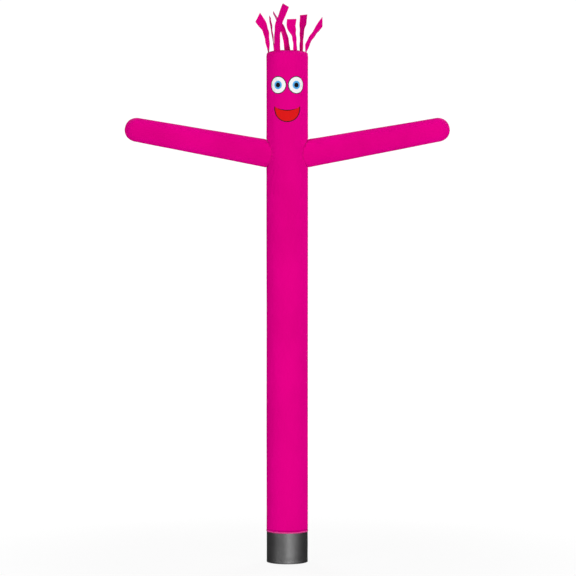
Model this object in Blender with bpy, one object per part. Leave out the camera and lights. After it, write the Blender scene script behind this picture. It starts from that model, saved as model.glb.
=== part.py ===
"""Inflatable air dancer, as it stands when its blower fills it.

A tall nylon tube with a coated cuff at its foot, two tapered sleeves for arms, a domed
crown panel on top and seven loose streamers for hair. Every cut and sewn piece is an
object of its own. Sizes are in metres, +Z is up, the front looks along -Y, and the
origin is the centre of the circle on which the cuff stands.
"""

import math
from collections import namedtuple

import bmesh
import bpy
from mathutils import Vector

# Cloth and fit
CLOTH = 0.0015
FIT_GAP = 0.0003
TUBE_SIDES = 40

# Body tube
BODY_RADIUS = 0.2286
BODY_BOTTOM = 0.339
BODY_TOP = 5.585
BODY_HEM_HEIGHT = 0.026
BODY_HEM_FOLD = 0.001
BODY_RING_PITCH = 1.0

# Window in the tube's mesh round each arm hole; its edge has as many points as a sleeve
WINDOW_HALF_COLUMNS = 5
WINDOW_ROWS = 10
WINDOW_HALF_HEIGHT = 0.20
WINDOW_RINGS = 3

# Base cuff
CUFF_WALL = 0.0025
CUFF_LAP = 0.035
CUFF_HEM_HEIGHT = 0.032
CUFF_HEM_FOLD = 0.0005
CUFF_HEM_WALL = 0.005

# Crown panel
CROWN_RISE = 0.058
CROWN_POWER = 3.0
CROWN_SKIRT = 0.025
CROWN_STEPS = 13

# Arms
ARM_SIDES = 40
ARM_HEIGHT = 4.512
ARM_RISE = math.radians(10.28)
ARM_ROOT_RADIUS = 0.1525
ARM_HAND_RADIUS = 0.1315
ARM_STRAIGHT = 1.450
ARM_SEAM_ALLOWANCE = 0.012
ARM_RINGS = 3
HAND_STEPS = 7

# Streamers
STREAMER_WIDTH = 0.104
STREAMER_CLOTH = 0.002
STREAMER_CUP = 0.006
STREAMER_FOOT_GAP = 0.0006
STREAMER_ACROSS = 4
STREAMER_ALONG = 15
SLANT_REACH = 0.30

# Colours, linear, with roughness
PINK = ((0.753, 0.0, 0.235), 0.5)
BLACK = ((0.021, 0.020, 0.022), 0.35)

# A streamer's centre line: place, and the turn of its width from +X seen from above
Station = namedtuple("Station", "x y z turn")

# End slant is the angle at which the tip is cut across
Streamer = namedtuple("Streamer", "end_slant stations")

STREAMERS = {
    "streamer_1": Streamer(30, (
        Station(-0.205, 0.000, 5.620, 84),
        Station(-0.214, -0.004, 5.720, 66),
        Station(-0.225, -0.018, 5.800, 58),
        Station(-0.239, -0.034, 5.862, 50),
        Station(-0.274, -0.040, 5.930, 22),
        Station(-0.324, -0.030, 6.003, 2),
    )),
    "streamer_2": Streamer(0, (
        Station(-0.142, 0.085, 5.640, 84),
        Station(-0.150, 0.100, 5.725, 85),
        Station(-0.161, 0.112, 5.803, 84),
        Station(-0.172, 0.118, 5.880, 80),
        Station(-0.181, 0.130, 5.950, 79),
        Station(-0.191, 0.150, 6.022, 79),
    )),
    "streamer_3": Streamer(-12, (
        Station(-0.110, -0.128, 5.640, -46),
        Station(-0.111, -0.142, 5.740, -52),
        Station(-0.106, -0.160, 5.835, -50),
        Station(-0.093, -0.172, 5.920, -44),
        Station(-0.060, -0.176, 6.010, -40),
        Station(-0.014, -0.168, 6.126, -36),
    )),
    "streamer_4": Streamer(24, (
        Station(0.003, 0.142, 5.640, 50),
        Station(-0.011, 0.152, 5.740, 53),
        Station(-0.027, 0.162, 5.822, 54),
        Station(-0.060, 0.170, 5.900, 50),
        Station(-0.108, 0.176, 5.990, 67),
        Station(-0.156, 0.186, 6.070, 79),
    )),
    "streamer_5": Streamer(8, (
        Station(0.087, -0.120, 5.640, 64),
        Station(0.083, -0.134, 5.725, 67),
        Station(0.075, -0.150, 5.794, 62),
        Station(0.061, -0.163, 5.846, 43),
        Station(0.043, -0.172, 5.902, 16),
        Station(0.050, -0.172, 5.975, 12),
    )),
    "streamer_6": Streamer(2, (
        Station(0.155, 0.085, 5.640, -70),
        Station(0.157, 0.092, 5.735, -67),
        Station(0.161, 0.104, 5.825, -66),
        Station(0.167, 0.120, 5.893, -56),
        Station(0.175, 0.134, 5.958, -42),
        Station(0.181, 0.142, 6.041, -38),
    )),
    "streamer_7": Streamer(-38, (
        Station(0.205, -0.004, 5.620, 84),
        Station(0.222, -0.012, 5.698, 64),
        Station(0.250, -0.030, 5.760, 60),
        Station(0.290, -0.052, 5.816, 56),
        Station(0.328, -0.066, 5.872, 52),
        Station(0.386, -0.062, 5.950, 44),
    )),
}


def clear_scene():
    """Take away whatever the file holds."""
    for thing in list(bpy.data.objects):
        bpy.data.objects.remove(thing, do_unlink=True)


def cloth_material(name, finish):
    """Make a cloth's material from its colour and roughness."""
    colour, roughness = finish
    material = bpy.data.materials.new(name)
    material.use_nodes = True
    shader = material.node_tree.nodes["Principled BSDF"]
    shader.inputs["Base Color"].default_value = (*colour, 1.0)
    shader.inputs["Roughness"].default_value = roughness
    shader.inputs["Metallic"].default_value = 0.0
    return material


def place(name, bm, parent, finish, location=(0.0, 0.0, 0.0)):
    """Turn a bmesh into a named object of one cloth and put it in its place."""
    mesh = bpy.data.meshes.new(name)
    bm.to_mesh(mesh)
    bm.free()
    mesh.shade_smooth()
    mesh.set_sharp_from_angle(angle=math.radians(40))
    mesh.materials.append(cloth_material(name + "_cloth", finish))
    thing = bpy.data.objects.new(name, mesh)
    bpy.context.collection.objects.link(thing)
    thing.parent = parent
    thing.location = location
    return thing


def turned(profile, ring):
    """Spin a (radius, height) profile about Z; a ring profile closes on itself."""
    bm = bmesh.new()
    points = [bm.verts.new((radius, 0.0, height)) for radius, height in profile]
    edges = [bm.edges.new(pair) for pair in zip(points, points[1:])]
    if ring:
        edges.append(bm.edges.new((points[-1], points[0])))
    bmesh.ops.spin(
        bm,
        geom=points + edges,
        cent=(0.0, 0.0, 0.0),
        axis=(0.0, 0.0, 1.0),
        angle=math.tau,
        steps=TUBE_SIDES,
        use_merge=True,
    )
    bmesh.ops.remove_doubles(bm, verts=bm.verts, dist=0.00001)
    bmesh.ops.recalc_face_normals(bm, faces=bm.faces)
    return bm


def join_loops(bm, first, second):
    """Fill the band between two closed loops that have the same number of points."""
    count = len(first)
    for start in range(count):
        end = (start + 1) % count
        bm.faces.new((first[start], first[end], second[end], second[start]))


def spaced(low, high, pitch):
    """Give even heights between two ends, both included, about a pitch apart."""
    count = max(1, round((high - low) / pitch))
    return [low + (high - low) * step / count for step in range(count + 1)]


def cuff_profile():
    """Outline the cuff's wall, with the stout folded hem on which it stands."""
    outer = BODY_RADIUS - CLOTH - FIT_GAP
    hem_outer = outer + CUFF_HEM_FOLD
    top = BODY_BOTTOM + CUFF_LAP
    return [
        (hem_outer, 0.0),
        (hem_outer, CUFF_HEM_HEIGHT),
        (outer, CUFF_HEM_HEIGHT + CUFF_HEM_FOLD),
        (outer, top),
        (outer - CUFF_WALL, top),
        (outer - CUFF_WALL, CUFF_HEM_HEIGHT + CUFF_HEM_WALL - CUFF_WALL),
        (hem_outer - CUFF_HEM_WALL, CUFF_HEM_HEIGHT),
        (hem_outer - CUFF_HEM_WALL, 0.0),
    ]


def dome(radius, rise, steps):
    """Outline a blown-up round panel from its rim to its middle, above its seam."""
    points = []
    for step in range(steps):
        angle = math.pi / 2 * (1 - step / steps)
        across = radius * math.sin(angle) ** (2 / CROWN_POWER)
        up = rise * max(0.0, math.cos(angle)) ** (2 / CROWN_POWER)
        points.append((across, up))
    return points + [(0.0, rise)]


def crown_outer():
    """Outline the crown's outer face from rim to middle, above its seam."""
    return dome(BODY_RADIUS - CLOTH - FIT_GAP, CROWN_RISE, CROWN_STEPS)


def crown_profile():
    """Outline the crown's wall with its skirt, the seam allowance inside the tube."""
    outer = crown_outer()
    inner = dome(outer[0][0] - CLOTH, CROWN_RISE - CLOTH, CROWN_STEPS // 2 + 1)
    foot = [(inner[0][0], -CROWN_SKIRT), (outer[0][0], -CROWN_SKIRT)]
    return list(reversed(inner)) + foot + outer


def crown_height(radius):
    """Give the height of the crown's outer face at a radius."""
    points = crown_outer()
    for rim, middle in zip(points, points[1:]):
        if rim[0] >= radius >= middle[0]:
            share = (rim[0] - radius) / (rim[0] - middle[0])
            return BODY_TOP + rim[1] + (middle[1] - rim[1]) * share
    return BODY_TOP


def sleeve_point(length, angle, spread):
    """Give a point on the right sleeve: length out from the body, angle round from its top."""
    taper = (ARM_HAND_RADIUS - ARM_ROOT_RADIUS) / ARM_STRAIGHT
    radius = ARM_ROOT_RADIUS + taper * length + spread
    rise = radius * math.cos(angle)
    return Vector((
        BODY_RADIUS + length * math.cos(ARM_RISE) - rise * math.sin(ARM_RISE),
        radius * math.sin(angle),
        ARM_HEIGHT + length * math.sin(ARM_RISE) + rise * math.cos(ARM_RISE),
    ))


def sleeve_meets(radius, angle, spread):
    """Find the length at which a line along the sleeve meets an upright cylinder."""
    low = -BODY_RADIUS / 2
    high = BODY_RADIUS
    for _ in range(50):
        length = (low + high) / 2
        point = sleeve_point(length, angle, spread)
        if math.hypot(point.x, point.y) < radius:
            low = length
        else:
            high = length
    return (low + high) / 2


def hand_point(angle, step, spread):
    """Give a point on the sleeve's round closed end, a step of the way to its tip."""
    bend = math.pi / 2 * step / HAND_STEPS
    radius = ARM_HAND_RADIUS + spread
    length = ARM_STRAIGHT + radius * math.sin(bend)
    rise = radius * math.cos(bend) * math.cos(angle)
    return Vector((
        BODY_RADIUS + length * math.cos(ARM_RISE) - rise * math.sin(ARM_RISE),
        radius * math.cos(bend) * math.sin(angle),
        ARM_HEIGHT + length * math.sin(ARM_RISE) + rise * math.cos(ARM_RISE),
    ))


def sleeve_rows(spread):
    """Give the rings of points of one face of a sleeve, from its root to its hand."""
    trim = BODY_RADIUS - CLOTH - ARM_SEAM_ALLOWANCE
    angles = [math.tau * side / ARM_SIDES for side in range(ARM_SIDES)]
    roots = [sleeve_meets(trim, angle, spread) for angle in angles]
    rows = []
    for ring in range(ARM_RINGS + 1):
        share = ring / ARM_RINGS
        lengths = [root + (ARM_STRAIGHT - root) * share for root in roots]
        rows.append([sleeve_point(*pair, spread) for pair in zip(lengths, angles)])
    for step in range(1, HAND_STEPS):
        rows.append([hand_point(angle, step, spread) for angle in angles])
    return rows


def build_arm(name, side, parent):
    """Make one sleeve, open at its root, which ends on a seam allowance in the body."""
    bm = bmesh.new()
    shoulder = Vector((side * BODY_RADIUS, 0.0, ARM_HEIGHT))
    mirror = Vector((side, 1.0, 1.0))
    roots = []
    for spread in (0.0, -CLOTH):
        rows = [
            [bm.verts.new(point * mirror - shoulder) for point in row]
            for row in sleeve_rows(spread)
        ]
        for near, far in zip(rows, rows[1:]):
            join_loops(bm, near, far)
        tip = bm.verts.new(hand_point(0.0, HAND_STEPS, spread) * mirror - shoulder)
        last = rows[-1]
        for start in range(ARM_SIDES):
            bm.faces.new((last[start], last[(start + 1) % ARM_SIDES], tip))
        roots.append(rows[0])
    join_loops(bm, *roots)
    bmesh.ops.recalc_face_normals(bm, faces=bm.faces)
    return place(name, bm, parent, PINK, shoulder)


def window_edge(side):
    """List the columns round an arm hole's window from its top, with rows above its foot."""
    half = WINDOW_HALF_COLUMNS
    top = [(column, WINDOW_ROWS) for column in range(half)]
    down = [(half, WINDOW_ROWS - row) for row in range(WINDOW_ROWS)]
    foot = [(half - column, 0) for column in range(2 * half)]
    up = [(-half, row) for row in range(WINDOW_ROWS)]
    back = [(column - half, WINDOW_ROWS) for column in range(half)]
    centre = 0 if side > 0 else TUBE_SIDES // 2
    return [((centre + side * column) % TUBE_SIDES, row) for column, row in top + down + foot + up + back]


def wall_point(radius, turn, height, side):
    """Give a point on the tube at a turn from an arm's side, positive to the back."""
    return Vector((side * radius * math.cos(turn), radius * math.sin(turn), height))


def hole_rings(bm, radius, edge, side):
    """Close the wall between a window's edge and its arm hole; return the hole's rim."""
    rings = []
    for ring in range(WINDOW_RINGS):
        share = ring / WINDOW_RINGS
        points = []
        for number, corner in enumerate(edge):
            angle = math.tau * number / ARM_SIDES
            length = sleeve_meets(radius, angle, FIT_GAP)
            rim = sleeve_point(length, angle, FIT_GAP)
            rim_turn = math.atan2(rim.y, rim.x)
            edge_turn = math.atan2(corner.co.y, side * corner.co.x)
            turn = rim_turn + (edge_turn - rim_turn) * share
            height = rim.z + (corner.co.z - rim.z) * share
            points.append(bm.verts.new(wall_point(radius, turn, height, side)))
        rings.append(points)
    rings.append(edge)
    for near, far in zip(rings, rings[1:]):
        join_loops(bm, near, far)
    return rings[0]


def tube_rows():
    """Give the rows of the tube's wall as (outer fold, height), and the window's first row."""
    hem_top = BODY_BOTTOM + BODY_HEM_HEIGHT
    window_low = ARM_HEIGHT - WINDOW_HALF_HEIGHT
    window_high = ARM_HEIGHT + WINDOW_HALF_HEIGHT
    rows = [(BODY_HEM_FOLD, BODY_BOTTOM), (BODY_HEM_FOLD, hem_top - BODY_HEM_FOLD)]
    rows += [(0.0, height) for height in spaced(hem_top, window_low, BODY_RING_PITCH)]
    first = len(rows) - 1
    pitch = (window_high - window_low) / WINDOW_ROWS
    rows += [(0.0, height) for height in spaced(window_low, window_high, pitch)[1:]]
    rows += [(0.0, height) for height in spaced(window_high, BODY_TOP, BODY_RING_PITCH)[1:]]
    return rows, first


def tube_face(bm, radius, folded):
    """Make one face of the tube's wall; return its end loops and its hole rims."""
    rows, first = tube_rows()
    grid = []
    for fold, height in rows:
        across = radius + (fold if folded else 0.0)
        turns = [math.tau * column / TUBE_SIDES for column in range(TUBE_SIDES)]
        grid.append([bm.verts.new(wall_point(across, turn, height, 1)) for turn in turns])
    half = WINDOW_HALF_COLUMNS
    for number, (low, high) in enumerate(zip(grid, grid[1:])):
        beside_window = first <= number < first + WINDOW_ROWS
        for column in range(TUBE_SIDES):
            following = (column + 1) % TUBE_SIDES
            if beside_window and (column + half) % (TUBE_SIDES // 2) < 2 * half:
                continue
            bm.faces.new((low[column], low[following], high[following], high[column]))
    rims = []
    for side in (-1, 1):
        edge = [grid[first + row][column] for column, row in window_edge(side)]
        rims.append(hole_rings(bm, radius, edge, side))
    return [grid[0], grid[-1]] + rims


def build_body_tube(parent):
    """Make the tube, open at both ends, with an oval hole for each sleeve."""
    bm = bmesh.new()
    outer = tube_face(bm, BODY_RADIUS, True)
    inner = tube_face(bm, BODY_RADIUS - CLOTH, False)
    for outer_loop, inner_loop in zip(outer, inner):
        join_loops(bm, outer_loop, inner_loop)
    bmesh.ops.recalc_face_normals(bm, faces=bm.faces)
    return place("body_tube", bm, parent, PINK)


def curve_value(rows, column, place_along):
    """Read one column of a station table as a smooth curve through its rows."""
    last = len(rows) - 1
    row = min(int(place_along), last - 1)
    share = place_along - row
    before = getattr(rows[max(row - 1, 0)], column)
    start = getattr(rows[row], column)
    end = getattr(rows[row + 1], column)
    after = getattr(rows[min(row + 2, last)], column)
    start_slope = (end - before) / 2
    end_slope = (after - start) / 2
    cube = share ** 3
    square = share ** 2
    return (
        (2 * cube - 3 * square + 1) * start
        + (cube - 2 * square + share) * start_slope
        + (3 * square - 2 * cube) * end
        + (cube - square) * end_slope
    )


def streamer_centre(stations, place_along):
    """Give a point on a streamer's centre line."""
    return Vector([curve_value(stations, axis, place_along) for axis in "xyz"])


def streamer_row(streamer, share):
    """Give the points across a streamer at a share of its length."""
    stations = streamer.stations
    last = len(stations) - 1
    here = share * last
    step = 0.02
    centre = streamer_centre(stations, here)
    back = streamer_centre(stations, max(0.0, here - step))
    ahead = streamer_centre(stations, min(float(last), here + step))
    along = (ahead - back).normalized()
    turn = math.radians(curve_value(stations, "turn", here))
    across = Vector((math.cos(turn), math.sin(turn), 0.0))
    across = (across - along * across.dot(along)).normalized()
    bulge = along.cross(across)
    slant = math.tan(math.radians(streamer.end_slant))
    slant *= max(0.0, (share - 1 + SLANT_REACH) / SLANT_REACH)
    points = []
    for column in range(STREAMER_ACROSS + 1):
        side = 2 * column / STREAMER_ACROSS - 1
        reach = side * STREAMER_WIDTH / 2
        cup = STREAMER_CUP * (1 - side * side) * math.sin(math.pi * share)
        points.append(centre + across * reach + along * (reach * slant) + bulge * cup)
    return points


def build_streamer(name, streamer, parent):
    """Make one strip: a cupped, twisted sheet whose foot stands on the crown."""
    bm = bmesh.new()
    grid = []
    for row in range(STREAMER_ALONG + 1):
        points = streamer_row(streamer, row / STREAMER_ALONG)
        if row == 0:
            for point in points:
                inner_edge = math.hypot(point.x, point.y) - STREAMER_CLOTH / 2
                point.z = crown_height(inner_edge) + STREAMER_FOOT_GAP
        grid.append([bm.verts.new(point) for point in points])
    for low, high in zip(grid, grid[1:]):
        for column in range(STREAMER_ACROSS):
            bm.faces.new((low[column], low[column + 1], high[column + 1], high[column]))
    strip = place(name, bm, parent, PINK)
    wall = strip.modifiers.new("cloth", "SOLIDIFY")
    wall.thickness = STREAMER_CLOTH
    wall.offset = 0.0
    return strip


def build_air_dancer():
    """Make every piece under one empty at the origin."""
    clear_scene()
    root = bpy.data.objects.new("air_dancer", None)
    bpy.context.collection.objects.link(root)
    build_body_tube(root)
    place("base_cuff", turned(cuff_profile(), True), root, BLACK)
    place("crown_panel", turned(crown_profile(), False), root, PINK, (0.0, 0.0, BODY_TOP))
    build_arm("left_arm", -1, root)
    build_arm("right_arm", 1, root)
    for name, streamer in STREAMERS.items():
        build_streamer(name, streamer, root)
    bpy.context.view_layer.update()


build_air_dancer()
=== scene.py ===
"""Looks of the inflatable air dancer: cloth, seams, stitches, print, studio and camera.

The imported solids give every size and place. Each cut and sewn piece is a class that holds
its sizes, knows its own surface as a function, and builds a thin cloth mesh on it.
"""

import logging
import math
from dataclasses import dataclass, field
from enum import Enum
from typing import Callable, Iterable, Sequence, Union

import bmesh
import bpy
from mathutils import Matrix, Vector, noise

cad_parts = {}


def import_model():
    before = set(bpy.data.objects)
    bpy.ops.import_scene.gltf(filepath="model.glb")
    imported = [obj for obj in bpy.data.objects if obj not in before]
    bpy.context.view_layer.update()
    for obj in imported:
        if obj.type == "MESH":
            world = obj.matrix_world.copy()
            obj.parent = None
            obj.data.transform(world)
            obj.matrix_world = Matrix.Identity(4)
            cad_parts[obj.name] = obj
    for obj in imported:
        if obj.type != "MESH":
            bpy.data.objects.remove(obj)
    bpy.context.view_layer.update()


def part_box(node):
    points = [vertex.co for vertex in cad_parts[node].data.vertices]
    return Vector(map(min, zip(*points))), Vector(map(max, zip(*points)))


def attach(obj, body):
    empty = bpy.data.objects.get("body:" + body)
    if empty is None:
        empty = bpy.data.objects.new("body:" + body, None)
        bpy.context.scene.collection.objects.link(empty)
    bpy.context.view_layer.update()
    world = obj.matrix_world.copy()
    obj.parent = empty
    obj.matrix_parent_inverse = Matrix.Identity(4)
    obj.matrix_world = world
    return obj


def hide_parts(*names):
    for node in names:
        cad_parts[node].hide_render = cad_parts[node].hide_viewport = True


LOG = logging.getLogger("air_dancer")
BODY = "root"
FULL_TURN = math.tau
QUARTER_TURN = math.pi / 2

Socket = bpy.types.NodeSocket
Finish = bpy.types.Material
Colour = tuple[float, float, float]
FlatPlace = tuple[float, float]
Corners = Sequence[bmesh.types.BMVert]
Feed = Union[Socket, float, tuple[float, ...]]

# The felled seam's section: place across it and height over the cloth, in metres.
SEAM_LIFT = 0.0010
SEAM_SHOULDER = 0.0066
SEAM_HALF_WIDTH = 0.0075
SEAM_EDGE_LIFT = 0.0001
SEAM_FOLD = (
    (-SEAM_HALF_WIDTH, SEAM_EDGE_LIFT),
    (-SEAM_SHOULDER, 0.9 * SEAM_LIFT),
    (0.0, SEAM_LIFT),
    (SEAM_SHOULDER, 0.9 * SEAM_LIFT),
    (SEAM_HALF_WIDTH, SEAM_EDGE_LIFT),
)


class Slot(Enum):
    """The record's material slots."""

    NYLON = "pink_nylon"
    STREAMER = "pink_streamer_nylon"
    COATED = "black_coated_cloth"


def smooth(low: float, high: float, value: float) -> float:
    """Ease from 0 at low to 1 at high.

    Args:
        low: where the rise starts.
        high: where it ends; it may be below low, and then the rise is a fall.
        value: where to read it.

    Returns:
        A number from 0 to 1.
    """
    share = min(1.0, max(0.0, (value - low) / (high - low)))
    return share * share * (3 - 2 * share)


def bell(value: float, middle: float, width: float) -> float:
    """Give a bell curve: 1 at the middle and almost 0 two widths away from it."""
    return math.exp(-(((value - middle) / width) ** 2))


def swell(distance: float, reach: float, start: float) -> float:
    """Give a rise that grows out of a seam and dies away from it.

    Args:
        distance: distance from the seam.
        reach: length over which it dies away.
        start: length over which it grows.

    Returns:
        A number from 0 to 1.
    """
    return math.exp(-distance / reach) * (1 - math.exp(-distance / start))


def wrapped(angle: float) -> float:
    """Bring an angle within half a turn of zero."""
    return (angle + math.pi) % FULL_TURN - math.pi


def steps(low: float, high: float, count: int) -> list[float]:
    """Give evenly spaced values from low to high, with both ends."""
    return [low + (high - low) * step / count for step in range(count + 1)]


def rough(x: float, y: float, z: float = 0.0) -> float:
    """Give smooth fixed noise, about -1 to 1, at a place measured in noise cells."""
    return noise.noise(Vector((x + 11.3, y - 4.7, z + 2.9)))


def path_length(path: Sequence[Vector]) -> float:
    """Give the length of a path of straight steps."""
    return sum((after - before).length for before, after in zip(path, path[1:]))


def graded(stretches: Sequence[tuple[float, float, float]]) -> list[float]:
    """Give heights whose pitch changes from one stretch to the next.

    Args:
        stretches: (low, high, pitch) rows, each starting where the last one ends.

    Returns:
        The heights, in order, with both ends.
    """
    heights = [stretches[0][0]]
    for low, high, pitch in stretches:
        heights += steps(low, high, max(1, round((high - low) / pitch)))[1:]
    return heights


@dataclass(frozen=True)
class Crease:
    """One soft trough laid on a piece's flat cloth, in metres and degrees."""

    across: float
    along: float
    direction: float
    length: float
    width: float
    depth: float
    fade_start: float = 0.3
    cut_off: float = 4.0

    def relief(self, across: float, along: float) -> float:
        """Give how far the cloth stands out here because of this crease.

        Args:
            across: place across the flat cloth.
            along: place along it.

        Returns:
            The rise in metres, negative in a trough.
        """
        right = across - self.across
        up = along - self.along
        angle = math.radians(self.direction)
        lengthwise = right * math.cos(angle) + up * math.sin(angle)
        sideways = up * math.cos(angle) - right * math.sin(angle)
        if abs(lengthwise) > self.length or abs(sideways) > self.cut_off * self.width:
            return 0.0
        fade = 1 - smooth(self.fade_start * self.length, self.length, abs(lengthwise))
        return -self.depth * fade * bell(sideways, 0.0, self.width)


@dataclass(frozen=True)
class Puckers:
    """Small waves along a seam, uneven in pitch and height.

    A rate is counted for each unit of place, which is a metre along a seam or a radian round
    a hole: in radians of wave, and in noise cells for the wander and the unevenness.
    """

    rate: float
    wander: float
    wander_rate: float
    wander_seed: float
    uneven: float = 0.0
    uneven_rate: float = 0.0
    uneven_seed: float = 0.0

    def phase(self, place: float) -> float:
        """Give the wave's phase in radians, which noise shifts to and fro."""
        return place * self.rate + self.wander * rough(place * self.wander_rate, self.wander_seed)

    def strength(self, place: float) -> float:
        """Give the waves' height here as a share of the greatest."""
        return 1 - self.uneven + self.uneven * rough(place * self.uneven_rate, self.uneven_seed)


CROWN_PUCKERS = Puckers(150.0, 3.0, 10.0, 12.0, 0.40, 8.0, 16.0)


class NodeDesk:
    """Short ways to lay out and link shader nodes in one material."""

    def __init__(self, material: Finish) -> None:
        """Start from an empty node tree with an output and a Principled shader.

        Args:
            material: the finish to lay out.
        """
        material.use_nodes = True
        self.tree = material.node_tree
        self.tree.nodes.clear()
        self.output = self.tree.nodes.new("ShaderNodeOutputMaterial")
        self.shader = self.tree.nodes.new("ShaderNodeBsdfPrincipled")
        self.tree.links.new(self.shader.outputs["BSDF"], self.output.inputs["Surface"])

    def link(self, value: Feed, socket: Socket) -> None:
        """Feed a socket from another socket, or set it to a plain value.

        Args:
            value: the other socket or the value.
            socket: the input to feed.
        """
        if isinstance(value, Socket):
            self.tree.links.new(value, socket)
        else:
            socket.default_value = value

    def set_shader(self, values: dict[str, Feed]) -> None:
        """Feed several of the shader's inputs.

        Args:
            values: a socket or a plain value for each input's name.
        """
        for name, value in values.items():
            self.link(value, self.shader.inputs[name])

    def math(self, operation: str, *values: Feed) -> Socket:
        """Add a Math node.

        Args:
            operation: its Blender name.
            values: up to three sockets or numbers.

        Returns:
            The result's socket.
        """
        node = self.tree.nodes.new("ShaderNodeMath")
        node.operation = operation
        for value, socket in zip(values, node.inputs):
            self.link(value, socket)
        return node.outputs[0]

    def mix(self, factor: Feed, first: Feed, second: Feed, blend: str = "MIX") -> Socket:
        """Mix two colours.

        Args:
            factor: share of the second one.
            first: colour or socket at 0.
            second: colour or socket at 1.
            blend: Blender's name for the way they are mixed.

        Returns:
            The mixed colour's socket.
        """
        node = self.tree.nodes.new("ShaderNodeMix")
        node.data_type = "RGBA"
        node.blend_type = blend
        self.link(factor, node.inputs["Factor"])
        self.link(first, node.inputs["A"])
        self.link(second, node.inputs["B"])
        return node.outputs["Result"]

    def ramp(self, low: float, high: float, value: Feed) -> Socket:
        """Ease a value from 0 at low to 1 at high with a smooth map range.

        Args:
            low: where the rise starts.
            high: where it ends.
            value: what is read.

        Returns:
            The eased value's socket.
        """
        node = self.tree.nodes.new("ShaderNodeMapRange")
        node.interpolation_type = "SMOOTHSTEP"
        self.link(value, node.inputs["Value"])
        node.inputs["From Min"].default_value = low
        node.inputs["From Max"].default_value = high
        return node.outputs["Result"]

    def noise(self, place: Feed, scale: float, detail: float) -> Socket:
        """Add a Noise texture.

        Args:
            place: vector at which it is read.
            scale: cells for each unit of the vector.
            detail: how many finer layers it has.

        Returns:
            Its factor's socket.
        """
        node = self.tree.nodes.new("ShaderNodeTexNoise")
        self.link(place, node.inputs["Vector"])
        node.inputs["Scale"].default_value = scale
        node.inputs["Detail"].default_value = detail
        return node.outputs["Fac"]

    def object_place(self, stretch: tuple[float, float, float]) -> Socket:
        """Give Object coordinates, stretched along each axis by a Mapping node.

        Args:
            stretch: factor along each axis.

        Returns:
            The vector's socket.
        """
        place = self.tree.nodes.new("ShaderNodeTexCoord")
        mapping = self.tree.nodes.new("ShaderNodeMapping")
        mapping.inputs["Scale"].default_value = stretch
        self.tree.links.new(place.outputs["Object"], mapping.inputs["Vector"])
        return mapping.outputs["Vector"]

    def cloth_place(self) -> tuple[Socket, Socket]:
        """Read the flat cloth's own place, in metres, from its UV map.

        Returns:
            The place across and the place along.
        """
        uv = self.tree.nodes.new("ShaderNodeUVMap")
        uv.uv_map = "cloth"
        split = self.tree.nodes.new("ShaderNodeSeparateXYZ")
        self.tree.links.new(uv.outputs["UV"], split.inputs["Vector"])
        return split.outputs["X"], split.outputs["Y"]

    def grid_line(self, place: Feed, pitch: float, width: float) -> Socket:
        """Draw thin lines at a pitch.

        Args:
            place: socket that runs across the lines, in metres.
            pitch: distance from one line to the next.
            width: width of a line.

        Returns:
            A socket that is 1 on a line and 0 between lines.
        """
        cell = self.math("PINGPONG", place, pitch / 2)
        return self.math("SUBTRACT", 1.0, self.ramp(width / 2, width, cell))

    def bump(self, height: Feed, strength: float) -> None:
        """Feed a height in metres to the shader's normal through a Bump node.

        Args:
            height: the height's socket.
            strength: share of the bump that shows.
        """
        node = self.tree.nodes.new("ShaderNodeBump")
        node.inputs["Strength"].default_value = strength
        node.inputs["Distance"].default_value = 1.0
        self.link(height, node.inputs["Height"])
        self.tree.links.new(node.outputs["Normal"], self.shader.inputs["Normal"])


@dataclass(frozen=True)
class PrintDisc:
    """One round spot of ink: its centre and radius on the flat cloth."""

    across: float
    along: float
    radius: float
    ink: Colour


@dataclass(frozen=True)
class PrintSmile:
    """One crescent of ink between two circles that share their corners."""

    along: float
    half_width: float
    lower_drop: float
    upper_drop: float
    ink: Colour


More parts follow.
